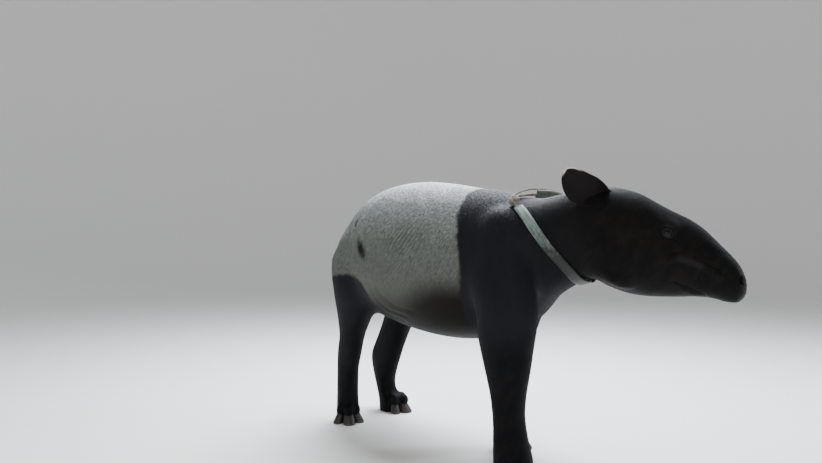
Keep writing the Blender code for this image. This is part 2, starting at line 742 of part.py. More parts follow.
def dress(nodes):
    """Colours by what each piece is."""
    for name, obj in nodes.items():
        obj.name = name
        obj.data.name = name
        if name == "torso":
            give_material(obj, "pale coat", PALE, 0.7)
        elif name.startswith("hoof"):
            give_material(obj, "hoof horn", (0.03, 0.026, 0.022), 0.45)
        elif name.startswith("eye"):
            give_material(obj, "eye", (0.01, 0.008, 0.007), 0.1)
        elif name.startswith("collar_sleeve"):
            give_material(obj, "rubber hose", (0.30, 0.36, 0.33), 0.5)
        elif name.startswith("collar"):
            give_material(obj, "rope", (0.42, 0.34, 0.24), 0.85)
        else:
            give_material(obj, "black coat", BLACK, 0.6)
        obj.data.shade_smooth()
        obj.data.set_sharp_from_angle(angle=SHARP_ANGLE)


def centre_on_floor(nodes):
    """Moves the model so that the origin is the middle of its box, at floor height."""
    points = np.array([vert.co for obj in nodes.values() for vert in obj.data.vertices])
    low = points.min(axis=0)
    high = points.max(axis=0)
    shift = Vector((-(low[0] + high[0]) / 2, -(low[1] + high[1]) / 2, -low[2]))
    for obj in nodes.values():
        for vert in obj.data.vertices:
            vert.co += shift


for old in list(bpy.data.objects):
    bpy.data.objects.remove(old)
NODES = build()
dress(NODES)
centre_on_floor(NODES)
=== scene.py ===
# %% [markdown]
# # A Malayan tapir, life size
# The solids of the animal come in as a fixed frame: head, neck, trunk, legs, ears, eyes, hooves
# and the pieces of its collar, each with its real size and place. This lesson gives them their
# looks. One skin takes the place of all the flesh, a short coat grows on it, and the eyes,
# hooves, hose and rope get finishes of their own.

# %% Load the frame
import math

import bmesh
import bpy
import numpy as np
from mathutils import Matrix, Vector
from mathutils.bvhtree import BVHTree
from mathutils.kdtree import KDTree


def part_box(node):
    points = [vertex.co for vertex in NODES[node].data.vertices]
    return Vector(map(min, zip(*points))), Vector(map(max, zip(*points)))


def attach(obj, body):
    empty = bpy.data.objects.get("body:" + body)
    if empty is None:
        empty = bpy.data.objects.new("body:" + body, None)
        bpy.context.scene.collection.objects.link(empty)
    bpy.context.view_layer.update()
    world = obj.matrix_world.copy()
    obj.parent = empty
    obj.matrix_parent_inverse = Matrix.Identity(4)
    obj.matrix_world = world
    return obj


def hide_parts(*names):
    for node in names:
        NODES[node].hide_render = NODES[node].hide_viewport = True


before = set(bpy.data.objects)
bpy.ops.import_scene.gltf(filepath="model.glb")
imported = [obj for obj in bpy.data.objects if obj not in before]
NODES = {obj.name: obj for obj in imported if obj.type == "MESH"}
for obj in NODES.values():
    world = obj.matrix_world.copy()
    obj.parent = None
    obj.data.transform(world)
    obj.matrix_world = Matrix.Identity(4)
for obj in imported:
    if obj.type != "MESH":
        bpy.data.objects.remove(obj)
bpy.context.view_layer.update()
MM = 0.001

# %% [markdown]
# Places on the animal are given in two frames that are worked out from its two eyes. The head's
# frame runs along the head, aside to its left, and up from the floor. The body's frame has x
# from the right hind foot towards the breast, y from the middle to the left, and z from the floor.

# %% The head's and the body's own frames
EYE_ALONG = 0.160
EYES_FROM_HIND_FOOT = Vector((1.2063, 0.1551, 0.733))


def middle(name):
    """The middle of a node's box."""
    low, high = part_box(name)
    return (low + high) / 2


EYES = (middle("eye_right") + middle("eye_left")) / 2
ASIDE = (middle("eye_left") - middle("eye_right")).normalized()
AHEAD = Vector((ASIDE.y, -ASIDE.x, 0.0))
BODY_ORIGIN = EYES - EYES_FROM_HIND_FOOT


def in_head(points):
    """Points of the model as places along the head, aside from its middle, and above the floor."""
    offset = points - np.array(EYES)
    return np.stack([offset @ np.array(AHEAD) + EYE_ALONG, offset @ np.array(ASIDE), points[:, 2]], axis=1)


def in_body(points):
    """Points of the model as places from the right hind foot."""
    return points - np.array(BODY_ORIGIN)


def head_point(along, aside, height):
    """The point of the model at a place in the head's frame."""
    flat = EYES + AHEAD * (along - EYE_ALONG) + ASIDE * aside
    return Vector((flat.x, flat.y, height))


def head_way(along, aside, up):
    """A direction given in the head's frame."""
    return (AHEAD * along + ASIDE * aside + Vector((0, 0, up))).normalized()


print("eyes:", tuple(round(value, 3) for value in EYES), "heading:",
      round(math.degrees(math.atan2(AHEAD.y, AHEAD.x)), 1))

# %% [markdown]
# The camera comes first, because all detail is judged through it. It stands level at the height
# of the animal's eye, ahead of its right shoulder, with a wide lens close by. That is what makes
# the head look large against the rump.

# %% The camera
CAMERA_FROM_EYE = Vector((1.0277, -1.7806, 0.007))
CAMERA_TURN = math.radians(50)
LENS_MM = 30.66

camera_data = bpy.data.cameras.new("camera")
camera_data.lens = LENS_MM
camera = bpy.data.objects.new("camera", camera_data)
camera.location = middle("eye_right") + CAMERA_FROM_EYE
camera.rotation_euler = (math.pi / 2, 0, CAMERA_TURN)
bpy.context.scene.collection.objects.link(camera)
bpy.context.scene.camera = camera
print("camera:", tuple(round(value, 3) for value in camera.location))

# %% [markdown]
# A few small helpers serve every finish. One turns an sRGB hex colour, as a paint chart gives
# it, into the linear numbers that Blender works with. One feeds a node's inputs with values and
# links. One adds a node to a shader or geometry tree, with its settings and inputs, and hands
# back the output that the next node needs.

# %% Helpers for colours, nodes and meshes


def linear(hex_colour):
    """A Blender colour from an sRGB hex value."""
    channels = [int(hex_colour[start:start + 2], 16) / 255 for start in (1, 3, 5)]
    return tuple(c / 12.92 if c <= 0.04045 else ((c + 0.055) / 1.055) ** 2.4 for c in channels) + (1.0,)


def feed(tree, node, inputs):
    """Gives a node's inputs their values, or the links that bring them."""
    for name, value in inputs.items():
        if isinstance(value, bpy.types.NodeSocket):
            tree.links.new(value, node.inputs[name])
        else:
            node.inputs[name].default_value = value


def add(tree, kind, inputs=None, out=0, **settings):
    """Adds a node with its settings and inputs, and gives the output of that number or name."""
    node = tree.nodes.new(kind)
    for name, value in settings.items():
        setattr(node, name, value)
    feed(tree, node, inputs or {})
    return node.outputs[out] if node.outputs else node


def new_object(name, mesh):
    """Puts a mesh in the scene."""
    obj = bpy.data.objects.new(name, mesh)
    bpy.context.scene.collection.objects.link(obj)
    return obj


def evaluated_mesh(obj):
    """The mesh of an object with its modifiers applied."""
    bpy.context.view_layer.update()
    return bpy.data.meshes.new_from_object(obj.evaluated_get(bpy.context.evaluated_depsgraph_get()))


# %% [markdown]
# The flesh of the solids is parted by thin cuts. The real animal has one skin, so the parts are
# swollen by a hair, so that they overlap, and remeshed with voxels into a single surface. The
# eyeballs go in too, to fill their sockets. The coarse facets are then smoothed away. Plain
# smoothing would shrink the legs, so each step in is followed by a slightly larger step out.

# %% One skin from the flesh
FLESH = ("torso", "neck", "head", "tail", "foreleg_right", "foreleg_left", "hindleg_right", "hindleg_left")
EARS = ("ear_right", "ear_left")
EYEBALLS = ("eye_right", "eye_left")
SWELL = 0.0004
SKIN_VOXEL = 0.0087
COAT_DEPTH = 0.0020
SKIN_ROUNDS = 12
TRUNK_ROUNDS = 20

# Each foot has its place from the right hind foot and the way that it points, in degrees. Each
# toe has the way that it points from its foot's, its reach, and its half width.
FEET = {"fore_right": (0.910, -0.156, -18), "fore_left": (0.638, 0.110, 22),
        "hind_right": (0.000, -0.106, -30), "hind_left": (-0.006, 0.124, 22)}
TOES = {"fore": ((-63, 0.050, 0.0145), (-21, 0.062, 0.0185), (21, 0.062, 0.0185), (63, 0.050, 0.0145)),
        "hind": ((-47, 0.050, 0.0160), (0, 0.062, 0.0200), (47, 0.050, 0.0160))}
CUSHION_BACK = 0.0150
CUSHION_HEIGHT = 0.049
CUSHION_LONG = 0.0265
CUSHION_TALL = 0.0300
CUSHION_PROUD = 2.5 * MM


def toe_axes(foot, toe):
    """A toe's place on the floor, the way it points, the way across it, and its half width."""
    foot_x, foot_y, turn = FEET[foot]
    spread_angle, reach, half = toe
    heading = math.radians(turn + spread_angle)
    ahead = Vector((math.cos(heading), math.sin(heading), 0))
    aside = Vector((-math.sin(heading), math.cos(heading), 0))
    return BODY_ORIGIN + Vector((foot_x, foot_y, 0)) + ahead * reach, ahead, aside, half


def add_toe_cushions(whole):
    """Adds the rounded flesh of each toe, which swells over the upper edge of its hoof."""
    for foot in FEET:
        for toe in TOES[foot[:4]]:
            place, ahead, aside, half = toe_axes(foot, toe)
            middle_point = place - ahead * CUSHION_BACK
            middle_point.z = CUSHION_HEIGHT
            shape = Matrix((ahead * CUSHION_LONG, aside * (half + CUSHION_PROUD),
                            Vector((0, 0, CUSHION_TALL))))
            shape = Matrix.Translation(middle_point) @ shape.transposed().to_4x4()
            bmesh.ops.create_icosphere(whole, subdivisions=3, radius=1.0, matrix=shape)


def joined_flesh():
    """All flesh and both eyeballs in one mesh of overlapping closed parts."""
    whole = bmesh.new()
    add_toe_cushions(whole)
    for name in FLESH + EYEBALLS:
        part = bmesh.new()
        part.from_mesh(NODES[name].data)
        bmesh.ops.remove_doubles(part, verts=part.verts, dist=1e-6)
        part.normal_update()
        places = [vert.co + vert.normal * SWELL for vert in part.verts]
        for vert, place in zip(part.verts, places):
            vert.co = place
        mesh = bpy.data.meshes.new("part")
        part.to_mesh(mesh)
        part.free()
        whole.from_mesh(mesh)
        bpy.data.meshes.remove(mesh)
    mesh = bpy.data.meshes.new("flesh")
    whole.to_mesh(mesh)
    whole.free()
    return mesh


def read_points(mesh):
    """A mesh's points as an array."""
    points = np.empty(len(mesh.vertices) * 3)
    mesh.vertices.foreach_get("co", points)
    return points.reshape(-1, 3)


def write_points(mesh, points):
    """Puts points back in a mesh."""
    mesh.vertices.foreach_set("co", points.astype(np.float32).ravel())
    mesh.update()


def read_normals(mesh):
    """The outward direction at each point."""
    normals = np.empty(len(mesh.vertices) * 3)
    mesh.vertices.foreach_get("normal", normals)
    return normals.reshape(-1, 3)


def read_edges(mesh):
    """The two points of each edge."""
    edges = np.empty(len(mesh.edges) * 2, dtype=np.int32)
    mesh.edges.foreach_get("vertices", edges)
    return edges.reshape(-1, 2)


def smoothstep(low, high, values):
    """A soft step from 0 at low to 1 at high."""
    t = np.clip((values - low) / (high - low), 0.0, 1.0)
    return t * t * (3 - 2 * t)


def soften(mesh, weights, rounds, step_in=0.5, step_out=-0.52):
    """Smooths a mesh without shrinking it, as far as each point's weight says."""
    points = read_points(mesh)
    edges = read_edges(mesh)
    ends = np.concatenate([edges[:, 0], edges[:, 1]])
    others = np.concatenate([edges[:, 1], edges[:, 0]])
    count = np.bincount(ends, minlength=len(points))[:, None]
    for _ in range(rounds):
        for step in (step_in, step_out):
            sums = [np.bincount(ends, points[others, axis], len(points)) for axis in range(3)]
            points += (np.stack(sums, axis=1) / count - points) * step * weights[:, None]
    write_points(mesh, points)


def start_skin():
    """The remeshed and smoothed skin."""
    obj = new_object("flesh", joined_flesh())
    remesh = obj.modifiers.new("one skin", "REMESH")
    remesh.mode = "VOXEL"
    remesh.voxel_size = SKIN_VOXEL
    mesh = evaluated_mesh(obj)
    bpy.data.objects.remove(obj)
    points = read_points(mesh)
    trunk = 1 - smoothstep(-0.10, 0.0, in_head(points)[:, 0])
    high = smoothstep(0.05, 0.12, points[:, 2])
    soften(mesh, 0.25 + 0.75 * high, SKIN_ROUNDS)
    soften(mesh, trunk * smoothstep(0.30, 0.45, points[:, 2]), TRUNK_ROUNDS)
    return mesh


skin_mesh = start_skin()
print("skin:", len(skin_mesh.vertices), "points")

# %% [markdown]
# The head needs a finer mesh than the trunk: folds there are only a few millimetres wide. So its
# faces are divided once more, those of the feet too, the snout and eye regions again, and the
# skin close to each eye a third time.

# %% Finer mesh where the detail is
SNOUT_START = 0.235
EYE_RADIUS = 0.017
FOOT_TOP = 0.075


def divide(mesh, chosen):
    """Divides the faces whose points are all chosen into four."""
    bm = bmesh.new()
    bm.from_mesh(mesh)
    edges = [edge for edge in bm.edges if chosen[edge.verts[0].index] and chosen[edge.verts[1].index]]
    bmesh.ops.subdivide_edges(bm, edges=edges, cuts=1, use_grid_fill=True)
    bm.to_mesh(mesh)
    bm.free()
    mesh.update()


def eye_distance(points):
    """How far each point is from the nearer eye's middle."""
    distances = [np.linalg.norm(points - np.array(middle(name)), axis=1) for name in EYEBALLS]
    return np.minimum(*distances)


def face_weight(points):
    """1 on the head, fading out down the neck."""
    return smoothstep(-0.06, 0.0, in_head(points)[:, 0])


points = read_points(skin_mesh)
divide(skin_mesh, (in_head(points)[:, 0] > -0.035) | (points[:, 2] < FOOT_TOP))
points = read_points(skin_mesh)
soften(skin_mesh, face_weight(points), 6)
points = read_points(skin_mesh)
place = in_head(points)
divide(skin_mesh, ((place[:, 0] > SNOUT_START) & (place[:, 2] > 0.4)) | (eye_distance(points) < 0.050))
points = read_points(skin_mesh)
divide(skin_mesh, eye_distance(points) < 0.027)
points = read_points(skin_mesh)
soften(skin_mesh, face_weight(points), 3)
print("finer skin:", len(skin_mesh.vertices), "points")

# %% [markdown]
# Folds are sculpted by moving points in or out along the skin. Each fold is a line drawn in the
# head's side view, or on the body's, with a width and a depth. A groove sinks the skin along its
# line, and a ridge lifts it. Both sides of the head get the same lines.

# %% Tools for folds


def run_lengths(line):
    """How far along a line each of its points lies."""
    return np.concatenate([[0], np.cumsum(np.linalg.norm(np.diff(line, axis=0), axis=1))])


def line_distance(flat, line):
    """Distance from each flat point to a broken line, and how far along the line that is, 0 to 1."""
    line = np.array(line, dtype=float)
    passed = run_lengths(line)
    best = np.full(len(flat), 1e9)
    along = np.zeros(len(flat))
    for index, (start, end) in enumerate(zip(line, line[1:])):
        way = end - start
        t = np.clip(((flat - start) @ way) / (way @ way), 0, 1)
        distance = np.linalg.norm(flat - (start + t[:, None] * way), axis=1)
        nearer = distance < best
        best[nearer] = distance[nearer]
        reached = passed[index] + t * (passed[index + 1] - passed[index])
        along[nearer] = (reached / passed[-1])[nearer]
    return best, along


def hill(distance, width):
    """A smooth hill: 1 at no distance, 0 from width on."""
    t = np.clip(1 - (distance / width) ** 2, 0, 1)
    return t * t


def folds(flat, table):
    """How far to move each point for folds: each a line, its width and depth in mm, and its fade."""
    move = np.zeros(len(flat))
    for line, width, depth, fade in table:
        distance, along = line_distance(flat, line)
        ends = smoothstep(0, fade, along) * smoothstep(0, fade, 1 - along)
        move += depth * MM * hill(distance, width * MM) * ends
    return move


def swelling(place, middle_place, size, height):
    """How far to move each point for one round swelling, or a hollow; its height is in mm."""
    return height * MM * hill(np.linalg.norm((place - middle_place) / size, axis=1), 1.0)


# %% [markdown]
# The face. A tapir's upper lip and nose are one short, mobile trunk. Its side shows a raised pad
# along the lip with a groove above it, and fine rings of wrinkles cross it. Under the pad runs
# the mouth. Round the small eye the skin is loose and wrinkled, and a tear groove runs forward
# from its inner corner. Behind, the cheek swells over the jaw.

# %% Folds of the face
LIP_PAD = ((0.150, 0.652), (0.176, 0.668), (0.197, 0.669), (0.217, 0.664), (0.247, 0.650),
           (0.280, 0.631), (0.312, 0.606))
LIP_GROOVE = ((0.160, 0.673), (0.180, 0.683), (0.200, 0.684), (0.222, 0.678), (0.252, 0.663),
              (0.286, 0.643), (0.318, 0.622))
MOUTH_LINE = ((0.172, 0.606), (0.190, 0.598), (0.205, 0.592), (0.232, 0.579), (0.256, 0.566),
              (0.274, 0.548), (0.284, 0.520))
LOWER_LIP = ((0.196, 0.582), (0.226, 0.568), (0.252, 0.552))
TEAR_GROOVE = ((0.1815, 0.7225), (0.190, 0.712), (0.197, 0.704))
EYE_WRINKLES = (((0.148, 0.708), (0.160, 0.701), (0.173, 0.700)),
                ((0.150, 0.699), (0.163, 0.693), (0.176, 0.693)),
                ((0.126, 0.742), (0.134, 0.735), (0.141, 0.732)),
                ((0.128, 0.728), (0.136, 0.724), (0.143, 0.722)))
LIP_WRINKLES = (((0.196, 0.660), (0.192, 0.640), (0.194, 0.618)),
                ((0.222, 0.655), (0.219, 0.632), (0.222, 0.606)),
                ((0.250, 0.640), (0.248, 0.615), (0.253, 0.590)),
                ((0.276, 0.625), (0.276, 0.600), (0.281, 0.574)))
JAW_GROOVE = ((-0.020, 0.770), (-0.012, 0.700), (-0.006, 0.630))
NOSE_HOLLOW = ((0.205, 0.722), (0.240, 0.706), (0.275, 0.682))

# Each fold has its line, its width and depth in mm, and the share of the line over which each of
# its ends fades. Each swelling has its middle, its reach each way in metres, and its height in mm.
FACE_FOLDS = ((LIP_PAD, 15, 5.2, 0.18), (LIP_GROOVE, 10, -1.1, 0.18), (MOUTH_LINE, 5.5, -4.6, 0.08),
              (LOWER_LIP, 10, 2.2, 0.3), (TEAR_GROOVE, 5, -1.8, 0.3),
              *((line, 3.5, -1.1, 0.3) for line in EYE_WRINKLES),
              *((line, 6, -1.2, 0.4) for line in LIP_WRINKLES),
              (JAW_GROOVE, 22, -3.5, 0.3), (NOSE_HOLLOW, 24, -1.0, 0.3))
TEMPLE = ((0.095, 0.775), (0.050, 0.032), -2.5)
CHEEK = ((0.060, 0.655), (0.075, 0.065), 2.5)
WRINKLE_SPACING = 8.5 * MM
WRINKLE_DEPTH = 0.85 * MM


def face_folds(points):
    """How far each point of the skin moves out for the folds of the face."""
    place = in_head(points)
    flat = place[:, (0, 2)]
    move = folds(flat, FACE_FOLDS) + swelling(flat, *TEMPLE) + swelling(flat, *CHEEK)
    return move * smoothstep(0.010, 0.030, abs(place[:, 1]))


def nose_wrinkles(points):
    """Rings of wrinkles across the nose, deepest on top and near its end."""
    place = in_head(points)
    reach = place[:, 0] + 0.55 * (0.72 - place[:, 2])
    strength = smoothstep(0.235, 0.33, reach) * smoothstep(0.56, 0.62, place[:, 2])
    drift = 1.3 * np.sin(place[:, 2] * 90 + 1.1) + 1.0 * np.sin(place[:, 1] * 130 + place[:, 2] * 55)
    drift += 0.9 * np.sin(place[:, 0] * 210 + place[:, 1] * 75)
    wave = np.sin(2 * math.pi * reach / WRINKLE_SPACING + drift)
    patchy = 0.55 + 0.45 * np.sin(place[:, 1] * 160 + 1.7 * np.sin(place[:, 0] * 95) + place[:, 2] * 120)
    return WRINKLE_DEPTH * strength * patchy * (wave - 0.4 * abs(wave))


points = read_points(skin_mesh)
normals = read_normals(skin_mesh)
on_head = smoothstep(-0.05, -0.02, in_head(points)[:, 0]) * smoothstep(0.45, 0.52, points[:, 2])
shift = (face_folds(points) + nose_wrinkles(points)) * on_head
write_points(skin_mesh, points + normals * shift[:, None])
print("face folds move the skin by", round(shift.min() / MM, 1), "to", round(shift.max() / MM, 1), "mm")

# %% [markdown]
# The eye is a ball in its socket, and what one sees is an almond of it between two thick lids.
# Points near the eye are described by where they lie in the eye's own view: along its opening,
# across it, and outwards. Inside the almond the skin drops behind the ball, at its edge it lies
# on the ball as a lid, and further out it runs into the face. Points close to the edge are
# drawn onto it, so that the edge is a clean curve.

# %% The eyelids
LID_LONG = 13.2 * MM
LID_UP = 9.8 * MM
LID_DOWN = 8.6 * MM
LID_THICK = 1.9 * MM
LID_ROLL = 0.9 * MM
LID_CREASE = 1.9 * MM
LID_BAGS = 1.2 * MM
BEHIND_BALL = 3 * MM
EYE_SIDES = (("eye_right", -1), ("eye_left", 1))


def eye_axes(side):
    """The way the eye looks, and the long and short way of its opening."""
    look = head_way(0.30, side, 0.10)
    long_way = head_way(0.80, -side * 0.20, -0.62)
    long_way = (long_way - look * long_way.dot(look)).normalized()
    short_way = long_way.cross(look) * (-side)
    return look, long_way, short_way


def eye_ring(points, name, side):
    """Where points lie round an eye: offset, on the near side or not, across, and 1 on the lids' edge."""
    look, long_way, short_way = (np.array(way) for way in eye_axes(side))
    offset = points - np.array(middle(name))
    near = (np.linalg.norm(offset, axis=1) < 0.045) & (offset @ look > 0)
    along = offset @ long_way / LID_LONG
    across = offset @ short_way
    across = np.where(across > 0, across / LID_UP, across / LID_DOWN)
    ring = np.sqrt(along ** 2 + across ** 2 * (1 + 0.55 * along ** 2))
    return offset, near, across, ring


def shape_lids(mesh, name, side):
    """Draws the skin round one eye."""
    points = read_points(mesh)
    centre = np.array(middle(name))
    look = np.array(eye_axes(side)[0])
    offset, near, across, ring = eye_ring(points, name, side)
    snapped = np.where((ring > 0.84) & (ring < 1.16), 1 / np.maximum(ring, 1e-6), 1.0)
    pulled = offset + (snapped - 1)[:, None] * (offset - (offset @ look)[:, None] * look)
    ring = ring * snapped
    way = pulled / np.linalg.norm(pulled, axis=1)[:, None]
    inside = EYE_RADIUS - BEHIND_BALL
    edge = EYE_RADIUS + LID_THICK
    crease = -LID_CREASE * hill(ring - 1.75, 0.26) * smoothstep(-0.2, 0.3, across)
    bag = -LID_BAGS * (hill(ring - 1.70, 0.18) + hill(ring - 2.10, 0.18)) * smoothstep(0.1, -0.4, across)
    roll = LID_ROLL * hill(ring - 1.35, 0.33)
    lid = edge + roll + crease + bag
    outer = np.linalg.norm(pulled, axis=1) + crease + bag
    blend = smoothstep(1.35, 2.4, ring)
    target = np.where(ring < 0.995, inside, lid * (1 - blend) + np.maximum(outer, edge) * blend)
    moved = centre + way * target[:, None]
    points[near] = moved[near]
    write_points(mesh, points)


for name, side in EYE_SIDES:
    shape_lids(skin_mesh, name, side)

# %% [markdown]
# The nostrils are slits in the shape of a comma on the end of the nose, one to each side.

# %% The nostrils
NOSTRIL = (0.347, 0.024, 0.607)
NOSTRIL_RADII = (6.5 * MM, 12.5 * MM)
NOSTRIL_DEPTH = 9.0 * MM
NOSTRIL_RIM = 1.2 * MM


def shape_nostril(mesh, side):
    """Sinks one nostril into the end of the nose, with a raised rim."""
    points = read_points(mesh)
    place = in_head(points)
    flat = np.stack([(place[:, 1] * side - NOSTRIL[1]) * 0.8 - (place[:, 0] - NOSTRIL[0]) * 0.6,
                     place[:, 2] - NOSTRIL[2]], axis=1)
    bent = flat[:, 0] + 26 * flat[:, 1] ** 2 - 3 * MM
    oval = np.hypot(bent / NOSTRIL_RADII[0], flat[:, 1] / NOSTRIL_RADII[1])
    near = (place[:, 0] > 0.31) & (place[:, 1] * side > 0.004)
    sink = NOSTRIL_RIM * hill(oval - 1.3, 0.45) - NOSTRIL_DEPTH * smoothstep(1.0, 0.45, oval)
    points[near] += read_normals(mesh)[near] * sink[near, None]
    write_points(mesh, points)


for side in (-1, 1):
    shape_nostril(skin_mesh, side)
print("lids and nostrils done")

# %% [markdown]
# The body has its own folds: the hollow of the flank in front of the thigh, the crease where the
# thigh meets the belly, the edge of the shoulder, the groove behind the elbow, loose skin on the
# throat, the tendons above the heel, and the clefts between the toes.

# %% Folds of the body
THIGH_CREASES = (((0.255, 0.545), (0.262, 0.490), (0.290, 0.445), (0.420, 0.428)),
                 ((0.275, 0.570), (0.298, 0.500), (0.345, 0.463), (0.470, 0.448)),
                 ((0.305, 0.580), (0.345, 0.525), (0.405, 0.488), (0.530, 0.470)))
FLANK_HOLLOW = ((0.300, 0.690), (0.070, 0.100), -5.0)
SHOULDER_EDGE = ((0.700, 0.800), (0.722, 0.700), (0.728, 0.600), (0.735, 0.500))
SHOULDER_BLADE = ((0.770, 0.800), (0.815, 0.700), (0.850, 0.600))
CREASE_TOPS = ((0.400, 0.020), (0.438, 0.0), (0.476, 0.012), (0.512, 0.004), (0.550, 0.018))
FLANK_CREASES = [((top, 0.790 - drop), (top - 0.012, 0.725), (top - 0.030, 0.655 + drop))
                 for top, drop in CREASE_TOPS]
THIGH_GROOVE = ((0.120, 0.640), (0.165, 0.560), (0.160, 0.480), (0.125, 0.410))
HEEL_GROOVES = {-1: ((0.062, 0.430), (0.020, 0.340), (-0.012, 0.262), (-0.020, 0.225)),
                1: ((0.030, 0.430), (-0.030, 0.340), (-0.066, 0.285), (-0.078, 0.235))}
ELBOW_GROOVES = {-1: ((0.775, 0.560), (0.790, 0.500), (0.812, 0.440)),
                 1: ((0.610, 0.560), (0.598, 0.500), (0.600, 0.440))}
WRIST_FOLDS = {-1: ((0.845, 0.176), (0.875, 0.158), (0.925, 0.150)),
               1: ((0.600, 0.172), (0.628, 0.156), (0.680, 0.150))}
RUMP_HOLLOW = ((-0.003, 0.160, 0.695), (0.100, 0.075, 0.075), -11.0)
REAR_CLEFT = ((0.0, 0.660), (0.0, 0.600), (0.0, 0.520), (0.0, 0.470))
REAR_GROOVE = ((0.112, 0.700), (0.098, 0.600), (0.090, 0.520), (0.100, 0.440))
THROAT_FOLDS = (((0.935, 0.640), (0.955, 0.585), (0.950, 0.530)),
                ((0.970, 0.660), (0.992, 0.610), (0.985, 0.565)))
THIGH_FOLDS = (*((line, 12, -3.8, 0.18) for line in THIGH_CREASES), (THIGH_GROOVE, 30, -3.0, 0.4))
SHOULDER_FOLDS = ((SHOULDER_EDGE, 45, -4.0, 0.3), (SHOULDER_BLADE, 40, 3.0, 0.4))
LEG_FOLDS = {side: ((HEEL_GROOVES[side], 16, -4.5, 0.3), (ELBOW_GROOVES[side], 18, -3.5, 0.3),
                    (WRIST_FOLDS[side], 8, -1.5, 0.3)) for side in (-1, 1)}
LEFT_SHOULDER_BACK = 0.11
CLEFT_DEPTH = 6.5 * MM
CLEFT_WIDTH = 8.5 * MM


def body_folds(points):
    """How far each point of the skin moves out for the folds of the body."""
    place = in_body(points)
    flat = place[:, (0, 2)]
    right = smoothstep(0.03, 0.08, -place[:, 1])
    left = smoothstep(0.03, 0.08, place[:, 1])
    shoulder = flat + np.stack([LEFT_SHOULDER_BACK * left, 0 * left], axis=1)
    move = folds(flat, THIGH_FOLDS) + swelling(flat, *FLANK_HOLLOW) + folds(shoulder, SHOULDER_FOLDS)
    move += folds(flat, [(line, 13, -1.5, 0.4) for line in FLANK_CREASES]) * right
    move += folds(flat, [(line, 14, -2.2, 0.4) for line in THROAT_FOLDS]) * (right + left)
    for side, share in ((-1, right), (1, left)):
        move += folds(flat, LEG_FOLDS[side]) * share
    return move * (right + left) + rear_folds(place)


def rear_folds(place):
    """The cleft under the tail, the grooves behind the thighs, and the flat below each hip."""
    rear = np.stack([abs(place[:, 1]), place[:, 2]], axis=1)
    behind = smoothstep(0.03, -0.03, place[:, 0])
    move = folds(rear, ((REAR_CLEFT, 34, -8.0, 0.25), (REAR_GROOVE, 24, -4.0, 0.35))) * behind
    mirrored = place * (1, 0, 1) + abs(place) * (0, 1, 0)
    return move + swelling(mirrored, *RUMP_HOLLOW)


def toe_clefts(place):
    """The clefts between the toes, drawn in the plan of each foot."""
    move = np.zeros(len(place))
    for foot, (x, y, turn) in FEET.items():
        spreads = [spread for spread, _, _ in TOES[foot[:4]]]
        for first, second in zip(spreads, spreads[1:]):
            heading = math.radians(turn + (first + second) / 2)
            line = [(x + reach * math.cos(heading), y + reach * math.sin(heading))
                    for reach in (0.016, 0.085)]
            distance, along = line_distance(place[:, :2], line)
            move -= CLEFT_DEPTH * hill(distance, CLEFT_WIDTH) * smoothstep(0.0, 0.3, along)
    return move * smoothstep(0.064, 0.034, place[:, 2])


points = read_points(skin_mesh)
normals = read_normals(skin_mesh)
shift = body_folds(points) * smoothstep(1.08, 1.02, in_body(points)[:, 0]) + toe_clefts(in_body(points))
write_points(skin_mesh, points + normals * (shift - COAT_DEPTH * (1 - face_weight(points)))[:, None])
print("body folds move the skin by", round(shift.min() / MM, 1), "to", round(shift.max() / MM, 1), "mm")

# %% [markdown]
# An ear is a blade of skin curled into a cup: a tube at its root, wide open at its rounded tip.
# Each is built from a grid over its length and width, with an inner and an outer face that meet
# in a rounded rim, and ribs down its inside. It is fused with the skin, and the join is smoothed,
# so that it grows out of the head.

# %% The ears
EAR_ROOT = (-0.017, 0.050, 0.851)
EAR_LENGTH = 0.121
EAR_SUNK = 0.024
EAR_WIDTH = 0.096
EAR_WIDEST = 0.46
EAR_ROOT_SHARE = 0.34
EAR_CURL = (225, 62)
EAR_TUCK = 0.030
EAR_TUCKED = 0.42
EAR_BOW = 0.0165
EAR_WALL = (5.0 * MM, 2.6 * MM)
EAR_RIBS = 0.9 * MM
EAR_JOIN_REACH = 16 * MM
EAR_JOIN_ROUNDS = 14
EAR_SKIN_GAP = 2.5 * MM
EAR_ROWS = 48
EAR_COLUMNS = 32
EAR_LEAN = {-1: (0.80, 0.20, 0.476), 1: (0.90, 0.36, 0.24)}


def ear_axes(side):
    """An ear's length, the way it opens, and its width."""
    back, outward, up = EAR_LEAN[side]
    length_way = head_way(-back, side * outward, up)
    open_way = head_way(0.35, side, -0.10)
    open_way = (open_way - length_way * open_way.dot(length_way)).normalized()
    return length_way, open_way, length_way.cross(open_way).normalized()


def ear_blade(t):
    """The ear's half width at a share of its length, and how far round it curls there."""
    if t < EAR_WIDEST:
        share = EAR_ROOT_SHARE + (1 - EAR_ROOT_SHARE) * math.sin(math.pi / 2 * t / EAR_WIDEST)
    else:
        share = max(1 - ((t - EAR_WIDEST) / (1 - EAR_WIDEST)) ** 2.1, 0.0004) ** (1 / 2.1)
    curl = EAR_CURL[0] + (EAR_CURL[1] - EAR_CURL[0]) * min(t * 1.8, 1.0) ** 0.8
    return 0.5 * EAR_WIDTH * share, math.radians(curl)


